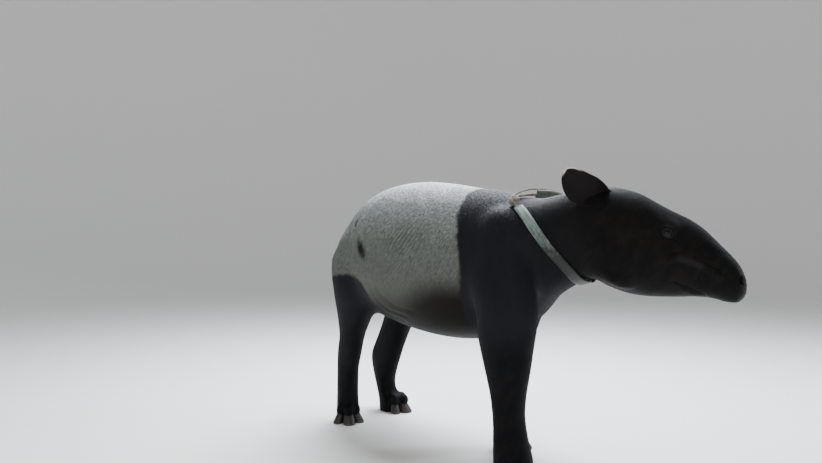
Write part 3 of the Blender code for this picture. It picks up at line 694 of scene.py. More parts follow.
def ear_mesh(side):
    """A closed ear, and for each of its points how much it is rim, and how much it is inside."""
    root = head_point(EAR_ROOT[0], side * EAR_ROOT[1], EAR_ROOT[2])
    length_way, open_way, width_way = ear_axes(side)
    bm = bmesh.new()
    rim_value = []
    inner_value = []
    grids = []
    for inner in (False, True):
        grid = []
        for row in range(EAR_ROWS + 1):
            t = 1 - (1 - row / EAR_ROWS) ** 1.6
            half, curl = ear_blade(t)
            tuck = EAR_TUCK * max(1 - t / EAR_TUCKED, 0.0) ** 2
            bow = side * EAR_BOW * math.sin(math.pi * t)
            radius = half / max(math.sin(min(curl / 2, math.pi / 2)), 0.2)
            wall = EAR_WALL[0] * (1 - t) + EAR_WALL[1] * t
            line = []
            for column in range(EAR_COLUMNS + 1):
                across = 2 * column / EAR_COLUMNS - 1
                swing = across * curl / 2
                edge = math.sqrt(max(1 - abs(across) ** 6, 0.0))
                ribs = EAR_RIBS * math.cos(across * 11) * (1 - across ** 2) * math.sin(math.pi * t)
                depth = (wall * edge + ribs) * 0.5 if inner else -wall * 0.5 * edge
                reach = radius - depth
                place = (root + length_way * ((EAR_LENGTH + EAR_SUNK) * t - EAR_SUNK)
                         + width_way * (reach * math.sin(swing) + bow)
                         + open_way * (radius - reach * math.cos(swing) - tuck))
                line.append(bm.verts.new(place))
                from_edge = min((1 - abs(across)) * half, (1 - t) * EAR_LENGTH)
                upper = smoothstep(-0.9, -0.2, -side * across)
                rim_value.append(float(smoothstep(4.5 * MM, 1.0 * MM, from_edge)
                                       * smoothstep(0.66, 0.82, t) * upper))
                inner_value.append(1.0 if inner else 0.0)
            grid.append(line)
        grids.append(grid)
    for grid in grids:
        for lower, upper in zip(grid, grid[1:]):
            for column in range(EAR_COLUMNS):
                bm.faces.new((lower[column], lower[column + 1], upper[column + 1], upper[column]))
    outer_grid, inner_grid = grids
    for row in range(EAR_ROWS):
        for column in (0, EAR_COLUMNS):
            bm.faces.new((outer_grid[row][column], outer_grid[row + 1][column],
                          inner_grid[row + 1][column], inner_grid[row][column]))
    for row in (0, EAR_ROWS):
        for column in range(EAR_COLUMNS):
            bm.faces.new((outer_grid[row][column], outer_grid[row][column + 1],
                          inner_grid[row][column + 1], inner_grid[row][column]))
    bmesh.ops.recalc_face_normals(bm, faces=bm.faces)
    mesh = bpy.data.meshes.new("ear")
    bm.to_mesh(mesh)
    bm.free()
    return mesh, np.array(rim_value), np.array(inner_value)


def fuse(mesh, other):
    """Joins another closed mesh to the skin."""
    base = new_object("base", mesh)
    extra = new_object("extra", other)
    union = base.modifiers.new("join", "BOOLEAN")
    union.operation = "UNION"
    union.solver = "EXACT"
    union.object = extra
    fused = evaluated_mesh(base)
    bpy.data.objects.remove(base)
    bpy.data.objects.remove(extra)
    return fused


def search_tree(points):
    """A tree that finds the nearest of some points."""
    tree = KDTree(len(points))
    for index, point in enumerate(points):
        tree.insert(point, index)
    tree.balance()
    return tree


def smooth_join(mesh, ear_points):
    """Rounds off the corner where an ear meets the head."""
    points = read_points(mesh)
    tree = search_tree(ear_points)
    is_ear = np.array([tree.find(point)[2] < 1e-5 for point in points])
    edges = read_edges(mesh)
    crossing = edges[is_ear[edges[:, 0]] != is_ear[edges[:, 1]]]
    tree = search_tree(points[np.unique(crossing)])
    distance = np.array([tree.find(point)[2] if near else 1.0
                         for point, near in zip(points, in_head(points)[:, 0] < 0.12)])
    soften(mesh, hill(distance, EAR_JOIN_REACH), EAR_JOIN_ROUNDS, 0.5, 0.0)


ear_points = []
ear_rims = []
ear_insides = []
for side in (-1, 1):
    mesh, rims, insides = ear_mesh(side)
    points = read_points(mesh)
    skin_mesh = fuse(skin_mesh, mesh)
    smooth_join(skin_mesh, points)
    ear_points.append(points)
    ear_rims.append(rims)
    ear_insides.append(insides)
ear_points = np.concatenate(ear_points)
ear_rims = np.concatenate(ear_rims)
ear_insides = np.concatenate(ear_insides)
skin_mesh.calc_loop_triangles()
print("skin with ears:", len(skin_mesh.vertices), "points,", len(skin_mesh.loop_triangles), "triangles")

# %% [markdown]
# A Malayan tapir is black before and behind and pale grey between, like a saddle cloth. The
# border is worked out once, as a signed distance in metres for every point of the skin: positive
# in the pale saddle, negative outside it. Materials can then draw it as soft or as ragged as
# the fur makes it, and each tuft of the coat takes the value at its own root.

# %% Where the markings lie
SADDLE_FRONT = ((0.200, 0.700), (0.447, 0.702), (0.481, 0.709), (0.530, 0.718), (0.574, 0.721),
                (0.629, 0.722), (0.683, 0.712), (0.742, 0.692), (0.805, 0.667), (0.841, 0.655),
                (0.872, 0.642), (0.900, 0.628))
LEFT_FORELEG_BACK = 0.15
STOCKING_TOP = ((-0.200, 0.548), (-0.060, 0.556), (0.020, 0.568), (0.074, 0.577), (0.135, 0.583),
                (0.188, 0.575), (0.224, 0.555), (0.245, 0.518), (0.250, 0.475), (0.254, 0.420),
                (0.260, 0.200))
HAUNCH_MARK = (0.228, 0.674)
HAUNCH_SLANT = np.array(((0.71, 0.71), (-0.71, 0.71)))
HAUNCH_RADII = (0.038, 0.018)
SMALL_MARK = (0.140, 0.770)
SMALL_MARK_RADII = (0.008, 0.012)
MARK_LINE = ((0.205, 0.698), (0.172, 0.735), (0.140, 0.770))
FLANK_RIPPLES = (0.475, 0.715)
FLANK_RIPPLES_SIZE = (0.150, 0.085)


def saddle_distance(points):
    """How far each point lies inside the pale saddle, in metres; outside it is negative."""
    place = in_body(points)
    heights, fronts = zip(*SADDLE_FRONT)
    left = smoothstep(-0.03, 0.08, place[:, 1]) * smoothstep(0.82, 0.55, place[:, 2])
    front = np.interp(place[:, 2], heights, fronts) - LEFT_FORELEG_BACK * left
    before = (front - place[:, 0]) * 0.95
    distance, _ = line_distance(place[:, (0, 2)], STOCKING_TOP)
    backs, tops = zip(*STOCKING_TOP)
    top = np.interp(place[:, 0], backs, tops)
    in_stocking = (place[:, 2] < top) & (place[:, 0] < STOCKING_TOP[-1][0])
    return np.minimum(before, np.where(in_stocking, -distance, distance))


def nearest_ear(points):
    """For points near an ear, the ear's nearest grid point; elsewhere -1."""
    tree = search_tree(ear_points)
    place = in_head(points)
    near = (place[:, 0] < 0.06) & (place[:, 0] > -0.25) & (place[:, 2] > 0.74)
    found = np.full(len(points), -1)
    for index in np.flatnonzero(near):
        _, member, distance = tree.find(points[index])
        if distance < EAR_SKIN_GAP:
            found[index] = member
    return found


def coat_lie(points, on_ear):
    """The way the hair lies at each point: back over the head and body, and down the legs."""
    place = in_body(points)
    head = face_weight(points)[:, None]
    leg = smoothstep(0.56, 0.38, place[:, 2])[:, None]
    low_belly = (smoothstep(0.30, 0.36, place[:, 0]) * smoothstep(0.62, 0.56, place[:, 0]))[:, None]
    leg = leg * (1 - low_belly)
    body_way = np.array([-0.70, 0.0, -0.71])
    leg_way = np.array([-0.12, 0.0, -1.0])
    head_back = -np.array(AHEAD) + np.array([0, 0, -0.30])
    lie = body_way * (1 - leg) + leg_way * leg
    lie = lie * (1 - head) + head_back * head
    for side in (-1, 1):
        mine = on_ear & (in_head(points)[:, 1] * side > 0)
        lie[mine] = np.array(ear_axes(side)[0])
    return lie


def give(mesh, name, values, kind="FLOAT"):
    """Stores a value for each point of a mesh."""
    layer = mesh.attributes.new(name, kind, "POINT")
    key = "vector" if kind == "FLOAT_VECTOR" else "value"
    layer.data.foreach_set(key, np.asarray(values, dtype=np.float32).ravel())


def haunch_marks(side_view):
    """How dark the marks on the haunch are: a slanted one, a small one and the line between."""
    spot = np.linalg.norm((side_view - HAUNCH_MARK) @ HAUNCH_SLANT / HAUNCH_RADII, axis=1)
    small_spot = np.linalg.norm((side_view - SMALL_MARK) / SMALL_MARK_RADII, axis=1)
    mark = 0.82 * smoothstep(1.45, 0.15, spot) + 0.22 * hill(spot / 2.6, 1.0)
    mark += 0.9 * smoothstep(1.2, 0.6, small_spot)
    return mark + 0.25 * hill(line_distance(side_view, MARK_LINE)[0], 0.010)


def belly_painted_shade(place):
    """Painted shade on the underside: how dark it is; its dark starts higher towards the breast."""
    dark_from = 0.555 + 0.065 * smoothstep(0.42, 0.66, place[:, 0])
    most = 0.91 + 0.09 * smoothstep(0.35, 0.66, place[:, 0])
    return smoothstep(0.0, 0.10, dark_from - place[:, 2]) * most


def lid_margins_lit_above(points):
    """The bare edge of each lid, painted paler above the eye as painted light from above."""
    margin = np.zeros(len(points))
    for name, side in EYE_SIDES:
        _, near, across, ring = eye_ring(points, name, side)
        margin += hill(ring - 1.12, 0.24) * near * (0.30 + 0.70 * smoothstep(-0.5, 0.5, across))
    return margin


# %% [markdown]
# The markings are stored on the skin, one number for each point under a name that says what it
# marks. Some of them are painted light and shade: the dark belly and legs, the greyer crest of the
# lip and the paler upper lids. The materials mix their colours by these numbers, and each tuft
# reads them at its root.
# The hair's length and density are stored too. It is short on the face, the ears and the feet,
# and none grows round the eyes, on the edge of the mouth, on the nose's end or under the feet.

# %% Store the markings on the skin
points = read_points(skin_mesh)
normals = read_normals(skin_mesh)
place = in_body(points)
head_place = in_head(points)
side_view = place[:, (0, 2)]
head_view = head_place[:, (0, 2)]
on_right = place[:, 1] < 0
ear_index = nearest_ear(points)
on_ear = ear_index >= 0
lie = coat_lie(points, on_ear)
lie -= normals * (lie * normals).sum(axis=1)[:, None]
lie /= np.linalg.norm(lie, axis=1)[:, None] + 1e-9
head_share = face_weight(points)
neck_share = smoothstep(-0.26, 0.02, head_place[:, 0]) * smoothstep(0.50, 0.62, points[:, 2])
foot_share = smoothstep(0.16, 0.05, points[:, 2])
leg_share = smoothstep(0.50, 0.36, points[:, 2])
rippled = np.linalg.norm((side_view - FLANK_RIPPLES) / FLANK_RIPPLES_SIZE, axis=1)
bare = smoothstep(0.032, 0.022, eye_distance(points))
bare += smoothstep(0.335, 0.355, head_place[:, 0]) * (points[:, 2] > 0.5)
bare += hill(line_distance(head_view, MOUTH_LINE)[0], 0.007)
bare = np.clip(bare, 0, 1) * (head_place[:, 0] > 0.1)
# A painted highlight along the crest of the lip's pad, where light from above grazes it.
lip_crest_highlight = hill(line_distance(head_view, LIP_PAD[2:5])[0], 0.018) * (head_place[:, 0] > 0.1)
sole = points[:, 2] < 0.006
length = 1.0 - 0.66 * head_share - 0.30 * leg_share * (1 - head_share) - 0.35 * foot_share
length = np.where(on_ear, 0.32, length)
length *= 1 - 0.35 * smoothstep(0.22, 0.34, head_place[:, 0])
density = 1.0 + 1.2 * head_share + 0.4 * leg_share
density = np.where(on_ear, 1.8, density) * (1 - bare) * ~sole
saddle = saddle_distance(points)
MARKINGS = {"saddle": saddle, "rim": np.where(on_ear, ear_rims[ear_index], 0),
            "inner": np.where(on_ear, ear_insides[ear_index], 0),
            "mark": np.clip(haunch_marks(side_view), 0, 1) * on_right, "belly": belly_painted_shade(place),
            "ripple": hill(rippled, 1.0) * on_right, "margin": np.clip(lid_margins_lit_above(points), 0, 1),
            "face": np.maximum(head_share, neck_share), "leg": leg_share, "bare": bare,
            "crest": lip_crest_highlight, "length": length, "density": density}
for name, values in MARKINGS.items():
    give(skin_mesh, name, values)
give(skin_mesh, "lie", lie, "FLOAT_VECTOR")
print("pale share of the skin's points:", round(float((saddle > 0).mean()), 2))

# %% [markdown]
# The finish of the coat is short, dense hair that lies flat. The same nodes colour the skin and
# the tufts. The saddle is a dusty grey, mottled along the lie of the hair. By height it is painted
# palest on the back as painted light from above, and darker down the flank as painted shade, with
# some brown dirt low on it. The belly is painted near black as painted shade, and the grooves of
# the flank's creases are painted darker as painted shade. The black is bluish on the shoulder and
# browner on the head, and the legs are painted darker as painted shade. The border is frayed by
# the width of a few tufts. A real hair is about a tenth of a millimetre thick, which is too fine
# to show, so the grain of the coat is drawn at 1.3 mm.

# %% The coat's colours
# The saddle's colours by height: palest on the back as painted light from above, darker down the flank as
# painted shade, with some dirt low on it.
PALE_LOW_DIRT_AND_SHADE = (0.56, linear("#525148"))
PALE_FLANK_PAINTED_SHADE = (0.74, linear("#6d736e"))
PALE_UPPER = (0.885, linear("#9aa09e"))
PALE_BACK_PAINTED_LIGHT = (0.955, linear("#e4e5e6"))
DARK_HAIR_AND_CREASE_SHADE = linear("#474b48")
PAINTED_BELLY_SHADE = linear("#13110f")
BLACK_BODY = linear("#181a1f")
BLACK_HEAD = linear("#0a0909")
BLACK_LEG_PAINTED_SHADE = linear("#07080b")
BLACK_WORN = linear("#1c1a17")
LIP_CREST_PAINTED_HIGHLIGHT = linear("#262524")
RIM_WHITE = linear("#e4e0d7")
EAR_INSIDE = linear("#1b1718")
BARE_SKIN = linear("#0d0c0c")
LID_MARGIN = linear("#21262a")
COAT_GLOSS = {"Specular IOR Level": 0.08, "Sheen Weight": 0.007, "Sheen Roughness": 0.45}
HAIR_LEAN = math.radians(-55)
CREASE_SPACING = 17 * MM
BORDER_RAGGED = 14 * MM
BORDER_FRAYED = 12 * MM


def layered(tree, height, *layers):
    """A height with its share of each further height added to it."""
    for layer, share in layers:
        height = add(tree, "ShaderNodeMath", {0: layer, 1: share, 2: height}, operation="MULTIPLY_ADD")
    return height


def paint(tree, under, over, mask, low=0.0, high=1.0, share=1.0):
    """Lays one colour over another where a mask goes from low to high, by the share at most."""
    cover = add(tree, "ShaderNodeMapRange",
                {"Value": mask, "From Min": low, "From Max": high, "To Max": share})
    return add(tree, "ShaderNodeMix", {0: cover, 6: under, 7: over}, 2, data_type="RGBA")


def hair_noise(tree, along, across, detail=4.0, roughness=0.6):
    """A noise drawn out along the lie of the hair; along and across are its grain in mm."""
    turned = add(tree, "ShaderNodeMapping",
                 {"Vector": add(tree, "ShaderNodeTexCoord", out="Object"), "Rotation": (0, HAIR_LEAN, 0),
                  "Scale": (along * MM, across * MM, across * MM)}, vector_type="TEXTURE")
    return add(tree, "ShaderNodeTexNoise",
               {"Vector": turned, "Scale": 1.0, "Detail": detail, "Roughness": roughness}, "Fac")


def flank_creases(tree):
    """The short creases of the loose flank: 0.5 where there are none, less in a groove."""
    turned = add(tree, "ShaderNodeMapping",
                 {"Vector": add(tree, "ShaderNodeTexCoord", out="Object"), "Rotation": (0, HAIR_LEAN, 0)},
                 vector_type="TEXTURE")
    waves = add(tree, "ShaderNodeTexWave",
                {"Vector": turned, "Scale": math.pi / 10 / CREASE_SPACING, "Distortion": 3.2,
                 "Detail": 2.0, "Detail Scale": 1.4}, "Fac", bands_direction="Z")
    swing = add(tree, "ShaderNodeMath", {0: waves, 1: 0.5}, operation="SUBTRACT")
    strength = add(tree, "ShaderNodeAttribute", out="Fac", attribute_name="ripple")
    return layered(tree, 0.5, (swing, strength))


def pale_coat(tree, place, stored, ragged, frayed):
    """The saddle's colour: painted light and shade by height, mottled, painted shade in creases and below,
    haunch marks.
    """
    # Painted light and shade: the saddle is palest high on the back and darker down the flank.
    height = add(tree, "ShaderNodeSeparateXYZ", {0: place}, "Z")
    cloudy = layered(tree, height, (hair_noise(tree, 110, 55), 0.10))
    pale = add(tree, "ShaderNodeValToRGB", {"Fac": cloudy}, "Color")
    stops = pale.node.color_ramp.elements
    for stop, (position, colour) in zip(stops, (PALE_LOW_DIRT_AND_SHADE, PALE_BACK_PAINTED_LIGHT)):
        stop.position = position
        stop.color = colour
    for position, colour in (PALE_FLANK_PAINTED_SHADE, PALE_UPPER):
        stops.new(position).color = colour
    pale = paint(tree, pale, DARK_HAIR_AND_CREASE_SHADE, hair_noise(tree, 20, 5.5), 0.60, 0.36, 0.58)
    pale = paint(tree, pale, DARK_HAIR_AND_CREASE_SHADE, hair_noise(tree, 13, 4.6), 0.55, 0.41, 0.60)
    # Painted shade: the grooves of the flank's creases are painted darker.
    pale = paint(tree, pale, DARK_HAIR_AND_CREASE_SHADE, flank_creases(tree), 0.45, 0.10, 0.70)
    # Painted shade: the belly is painted near black.
    pale = paint(tree, pale, PAINTED_BELLY_SHADE, stored["belly"])
    patchy = layered(tree, -0.7, (ragged, 1.7), (frayed, 1.7))
    torn = add(tree, "ShaderNodeMath", {0: stored["mark"], 1: patchy}, operation="MULTIPLY")
    return paint(tree, pale, BLACK_HEAD, torn, 0.08, 0.75, 0.94)


def black_coat(tree, stored):
    """The black: bluish on the body, browner on the head, painted shade on the legs, worn in patches, painted
    highlight on the lip's crest.
    """
    black = paint(tree, BLACK_BODY, BLACK_HEAD, stored["face"])
    # Painted shade: the legs are painted darker than the body.
    black = paint(tree, black, BLACK_LEG_PAINTED_SHADE, stored["leg"])
    black = paint(tree, black, BLACK_WORN, hair_noise(tree, 60, 22), 0.45, 0.75, 0.5)
    # Painted highlight: the lip's crest is painted greyer.
    return paint(tree, black, LIP_CREST_PAINTED_HIGHLIGHT, stored["crest"], share=0.5)


def coat_colour(tree, tone=None):
    """The coat's colour at a point of the skin, or at the root of a tuft."""
    stored = {name: add(tree, "ShaderNodeAttribute", out="Fac", attribute_name=name)
              for name in MARKINGS if name not in ("ripple", "length", "density")}
    place = add(tree, "ShaderNodeTexCoord", out="Object")
    ragged = add(tree, "ShaderNodeTexNoise", {"Vector": place, "Scale": 45.0, "Detail": 4.0}, "Fac")
    frayed = hair_noise(tree, 14, 3.5)
    inside = add(tree, "ShaderNodeMath",
                 {0: stored["saddle"], 1: -(BORDER_RAGGED + BORDER_FRAYED) / 2}, operation="ADD")
    inside = layered(tree, inside, (ragged, BORDER_RAGGED), (frayed, BORDER_FRAYED))
    in_saddle = add(tree, "ShaderNodeMapRange", {"Value": inside, "From Min": -0.007, "From Max": 0.008},
                    interpolation_type="SMOOTHSTEP")
    colour = paint(tree, black_coat(tree, stored), pale_coat(tree, place, stored, ragged, frayed), in_saddle)
    for name, finish, share in (("inner", EAR_INSIDE, 0.7), ("rim", RIM_WHITE, 1.0),
                                ("bare", BARE_SKIN, 1.0), ("margin", LID_MARGIN, 0.85)):
        colour = paint(tree, colour, finish, stored[name], share=share)
    if tone is not None:
        shade = add(tree, "ShaderNodeMapRange", {"Value": tone, "To Min": 0.82, "To Max": 1.18})
        grey = add(tree, "ShaderNodeCombineColor", {0: shade, 1: shade, 2: shade})
        colour = add(tree, "ShaderNodeMix", {0: 1.0, 6: colour, 7: grey}, 2, data_type="RGBA",
                     blend_type="MULTIPLY")
    return colour


def new_material(name):
    """An empty material with its tree and its shader."""
    material = bpy.data.materials.new(name)
    material.use_nodes = True
    return material, material.node_tree, material.node_tree.nodes["Principled BSDF"]


def skin_material():
    """Skin under short hair: the coat's colour, with the hair as fine grooves along its lie."""
    material, tree, shader = new_material("short coat on skin")
    bare = add(tree, "ShaderNodeAttribute", out="Fac", attribute_name="bare")
    cracks = add(tree, "ShaderNodeTexVoronoi",
                 {"Vector": add(tree, "ShaderNodeTexCoord", out="Object"), "Scale": 420.0}, "Distance",
                 feature="DISTANCE_TO_EDGE")
    cracks = add(tree, "ShaderNodeMath", {0: cracks, 1: 0.25}, operation="MINIMUM")
    crinkle = add(tree, "ShaderNodeMath", {0: bare, 1: cracks}, operation="MULTIPLY")
    height = layered(tree, hair_noise(tree, 9, 1.3, 3.0, 0.7), (hair_noise(tree, 30, 7), 0.5),
                     (crinkle, 2.5), (flank_creases(tree), 4.0))
    bump = add(tree, "ShaderNodeBump", {"Height": height, "Strength": 0.55, "Distance": 1.1 * MM})
    rough = add(tree, "ShaderNodeMapRange", {"Value": bare, "To Min": 0.60, "To Max": 0.38})
    feed(tree, shader, {"Base Color": coat_colour(tree), "Normal": bump, "Roughness": rough, **COAT_GLOSS})
    return material


def hair_material():
    """Tufts of short, slightly glossy hair, each a little lighter or darker than the next."""
    material, tree, shader = new_material("coat tufts")
    tone = add(tree, "ShaderNodeAttribute", out="Fac", attribute_name="tone")
    feed(tree, shader, {"Base Color": coat_colour(tree, tone), "Roughness": 0.55, **COAT_GLOSS})
    return material


skin = new_object("skin", skin_mesh)
skin_mesh.shade_smooth()
skin_mesh.materials.clear()
skin_mesh.materials.append(skin_material())
HAIR = hair_material()

# %% [markdown]
# Baked colours need a flat map of the skin in which no two places overlap. Blender's smart
# projection cuts the skin into patches by the way that they face. Each tuft then gets a tiny
# patch of its own at the place where it grows.

# %% A flat map of the skin
bpy.context.view_layer.objects.active = skin
skin.select_set(True)
while skin_mesh.uv_layers:
    skin_mesh.uv_layers.remove(skin_mesh.uv_layers[0])
skin_mesh.uv_layers.new(name="OFBake")
bpy.ops.object.mode_set(mode="EDIT")
bpy.ops.mesh.select_all(action="SELECT")
bpy.ops.uv.smart_project(angle_limit=math.radians(66), island_margin=0.002)
bpy.ops.object.mode_set(mode="OBJECT")
print("flat map:", len(skin_mesh.uv_layers["OFBake"].data), "corners")

# %% [markdown]
# The coat itself. A tuft is a small three-sided lock of hair: sunk at its root, widest a third
# of the way along, and bent back towards the skin at its tip. Geometry Nodes scatter it over the
# skin, turn each one to the lie of the coat, lift it a little, and vary its length, width and
# tone. A tuft takes most of its shading from the skin that it grows on, so that the coat looks
# like one soft surface. The whole coat would be too many triangles for one piece, so the tree is
# run once for each region of the body.

# %% The coat's tree
TUFT_LENGTH = 7.5 * MM
TUFT_WIDTH = 1.7 * MM
TUFTS_PER_AREA = 44000.0
TUFT_STAND = 0.09
TUFT_ROUNDNESS = 0.35
PATCH_SIZE = 0.003

# The tree reads these values on the skin and on the tufts, and varies each tuft by chances that
# have a lowest and a highest value and a seed.
STORED_KINDS = {"region": "INT", "density": "FLOAT", "length": "FLOAT", "lie": "FLOAT_VECTOR",
                "OFBake": "FLOAT_VECTOR", "root": "FLOAT_VECTOR", "facing": "FLOAT_VECTOR",
                "patch": "FLOAT_VECTOR"}
TUFT_CHANCES = (("sway", -0.30, 0.30, 1), ("stand", 0.4, 1.3, 2), ("Length", 0.7, 1.25, 3),
                ("Width", 0.7, 1.2, 4), ("tone", 0.0, 1.0, 7))


def tuft_mesh():
    """One lock, a unit long in z and wide in y, whose back faces x.

    Each ring has its height, its lift, its half width and its thickness.
    """
    rings = ((-0.08, -0.03, 0.35, 0.030), (0.36, 0.045, 0.50, 0.040))
    tip = (1.0, 0.010)
    points = []
    for height, lift, half, thick in rings:
        points += [(lift + thick, 0, height), (lift - thick, half, height), (lift - thick, -half, height)]
    points.append((tip[1], 0, tip[0]))
    faces = [(2, 1, 0)]
    for corner in range(3):
        following = (corner + 1) % 3
        faces.append((corner, following, following + 3, corner + 3))
        faces.append((corner + 3, following + 3, 6))
    mesh = bpy.data.meshes.new("tuft")
    mesh.from_pydata(points, [], faces)
    mesh.shade_smooth()
    patch = mesh.uv_layers.new(name="patch")
    for loop in mesh.loops:
        place = points[loop.vertex_index]
        patch.data[loop.index].uv = (place[1] * 0.9 + 0.5, (place[2] + 0.08) / 1.08)
    return mesh


def coat_tree():
    """The tree that grows tufts, with its sizes as inputs."""
    tree = bpy.data.node_groups.new("coat", "GeometryNodeTree")
    for name, kind in (("Skin", "Geometry"), ("Region", "Int"), ("Tufts per area", "Float"),
                       ("Length", "Float"), ("Width", "Float"), ("Stand", "Float"), ("Roundness", "Float"),
                       ("Seed", "Int"), ("Tuft", "Object"), ("Finish", "Material")):
        tree.interface.new_socket(name, in_out="INPUT", socket_type="NodeSocket" + kind)
    tree.interface.new_socket("Coat", in_out="OUTPUT", socket_type="NodeSocketGeometry")
    given = add(tree, "NodeGroupInput").node.outputs
    stored = {name: add(tree, "GeometryNodeInputNamedAttribute", {"Name": name}, "Attribute",
                        data_type=kind)
              for name, kind in STORED_KINDS.items()}
    chance = {name: add(tree, "FunctionNodeRandomValue", {2: low, 3: high, "Seed": seed}, 1,
                        data_type="FLOAT")
              for name, low, high, seed in TUFT_CHANCES}

    here = add(tree, "FunctionNodeCompare", {2: stored["region"], 3: given["Region"]}, data_type="INT",
               operation="EQUAL")
    density = add(tree, "ShaderNodeMath", {0: given["Tufts per area"], 1: stored["density"]},
                  operation="MULTIPLY")
    scatter = add(tree, "GeometryNodeDistributePointsOnFaces",
                  {"Mesh": given["Skin"], "Selection": here, "Density": density,
                   "Seed": given["Seed"]}).node.outputs
    roots = scatter["Points"]
    normal = scatter["Normal"]
    for name, kind, value in (("root", "FLOAT_VECTOR", stored["OFBake"]), ("facing", "FLOAT_VECTOR", normal),
                              ("tone", "FLOAT", chance["tone"])):
        roots = add(tree, "GeometryNodeStoreNamedAttribute",
                    {"Geometry": roots, "Name": name, "Value": value}, data_type=kind, domain="POINT")
    roots = add(tree, "GeometryNodeRemoveAttribute", {"Geometry": roots, "Name": "OFBake"})

    aside = add(tree, "ShaderNodeVectorMath", {0: normal, 1: stored["lie"]}, operation="CROSS_PRODUCT")
    stand = add(tree, "ShaderNodeMath", {0: given["Stand"], 1: chance["stand"]}, operation="MULTIPLY")
    way = stored["lie"]
    for direction, share in ((aside, chance["sway"]), (normal, stand)):
        part = add(tree, "ShaderNodeVectorMath", {0: direction, "Scale": share}, operation="SCALE")
        way = add(tree, "ShaderNodeVectorMath", {0: way, 1: part}, operation="ADD")
    turn = add(tree, "FunctionNodeAxesToRotation", {"Primary Axis": way, "Secondary Axis": normal},
               primary_axis="Z", secondary_axis="X")
    sizes = {}
    for name in ("Length", "Width"):
        varied = add(tree, "ShaderNodeMath", {0: stored["length"], 1: chance[name]}, operation="MULTIPLY")
        sizes[name] = add(tree, "ShaderNodeMath", {0: given[name], 1: varied}, operation="MULTIPLY")
    size = add(tree, "ShaderNodeCombineXYZ",
               {"X": sizes["Length"], "Y": sizes["Width"], "Z": sizes["Length"]})
    tuft = add(tree, "GeometryNodeObjectInfo", {"Object": given["Tuft"], "As Instance": True}, "Geometry")
    grown = add(tree, "GeometryNodeInstanceOnPoints",
                {"Points": roots, "Instance": tuft, "Rotation": turn, "Scale": size})
    solid = add(tree, "GeometryNodeRealizeInstances", {"Geometry": grown})

    own_normal = add(tree, "GeometryNodeInputNormal")
    own_share = add(tree, "ShaderNodeVectorMath", {0: own_normal, "Scale": given["Roundness"]},
                    operation="SCALE")
    shading = add(tree, "ShaderNodeVectorMath", {0: stored["facing"], 1: own_share}, operation="ADD")
    coat = add(tree, "GeometryNodeSetMeshNormal", {"Mesh": solid, "Custom Normal": shading}, mode="FREE",
               domain="POINT")
    in_patch = add(tree, "ShaderNodeVectorMath", {0: stored["patch"], "Scale": PATCH_SIZE}, operation="SCALE")
    place = add(tree, "ShaderNodeVectorMath", {0: stored["root"], 1: in_patch}, operation="ADD")
    coat = add(tree, "GeometryNodeStoreNamedAttribute", {"Geometry": coat, "Name": "OFBake", "Value": place},
               data_type="FLOAT2", domain="CORNER")
    for name in STORED_KINDS:
        if name != "OFBake":
            coat = add(tree, "GeometryNodeRemoveAttribute", {"Geometry": coat, "Name": name})
    coat = add(tree, "GeometryNodeSetMaterial", {"Geometry": coat, "Material": given["Finish"]})
    add(tree, "NodeGroupOutput", {"Coat": coat})
    return tree


# %% [markdown]
# Now the coat grows, in twelve regions that are each a mesh of their own. Every region has its
# own seed, so that no pattern of tufts shows twice. The ears belong to the head's two regions.

# %% Grow the coat
REGIONS = ("rump", "flank_right", "flank_left", "shoulder_right", "shoulder_left", "neck", "head_right",
           "head_left", "foreleg_right", "foreleg_left", "hindleg_right", "hindleg_left")


def coat_regions(points):
    """The number of the region that each point of the skin belongs to."""
    along, aside, height = in_body(points).T
    head_along, head_aside, head_height = in_head(points).T
    left = aside > 0
    foreleg = (height < 0.44) & (along > 0.55)
    hindleg = (height < 0.50) & (along < 0.28)
    head = on_ear | ((head_along > -0.06) & (head_height > 0.45))
    region = np.full(len(points), REGIONS.index("rump"), dtype=np.int32)
    for name, inside in (("flank_right", along > 0.20), ("flank_left", (along > 0.20) & left),
                         ("shoulder_right", along > 0.52), ("shoulder_left", (along > 0.52) & left),
                         ("neck", (along > 0.86) & (height > 0.45)),
                         ("foreleg_right", foreleg), ("foreleg_left", foreleg & left),
                         ("hindleg_right", hindleg), ("hindleg_left", hindleg & left),
                         ("head_right", head), ("head_left", head & (head_aside > 0))):
        region[inside] = REGIONS.index(name)
    return region


region = skin_mesh.attributes.new("region", "INT", "POINT")
region.data.foreach_set("value", coat_regions(points))
COAT_TREE = coat_tree()
TUFT = new_object("tuft", tuft_mesh())
TUFT.hide_render = True
coats = []
for number, name in enumerate(REGIONS):
    carrier = new_object("carrier", skin_mesh)
    grow = carrier.modifiers.new("coat", "NODES")
    grow.node_group = COAT_TREE
    values = {"Region": number, "Tufts per area": TUFTS_PER_AREA, "Length": TUFT_LENGTH, "Width": TUFT_WIDTH,
              "Stand": TUFT_STAND, "Roundness": TUFT_ROUNDNESS, "Seed": 20 + number, "Tuft": TUFT,
              "Finish": HAIR}
    for item in COAT_TREE.interface.items_tree:
        if item.in_out == "INPUT" and item.name in values:
            grow[item.identifier] = values[item.name]
    coat_mesh = evaluated_mesh(carrier)
    bpy.data.objects.remove(carrier)
    coat_mesh.calc_loop_triangles()
    print("coat", name, len(coat_mesh.loop_triangles), "triangles")
    coats.append(new_object("coat_" + name, coat_mesh))
bpy.data.objects.remove(TUFT)
for coat in coats:
    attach(coat, "root")

# %% [markdown]
# The small pieces are built from rings of points. One function closes such rings into a tube with
# caps, and another makes the mesh and stores on each point the values that its material reads,
# such as how far along and how far round the piece the point lies.

# %% Tools for small pieces


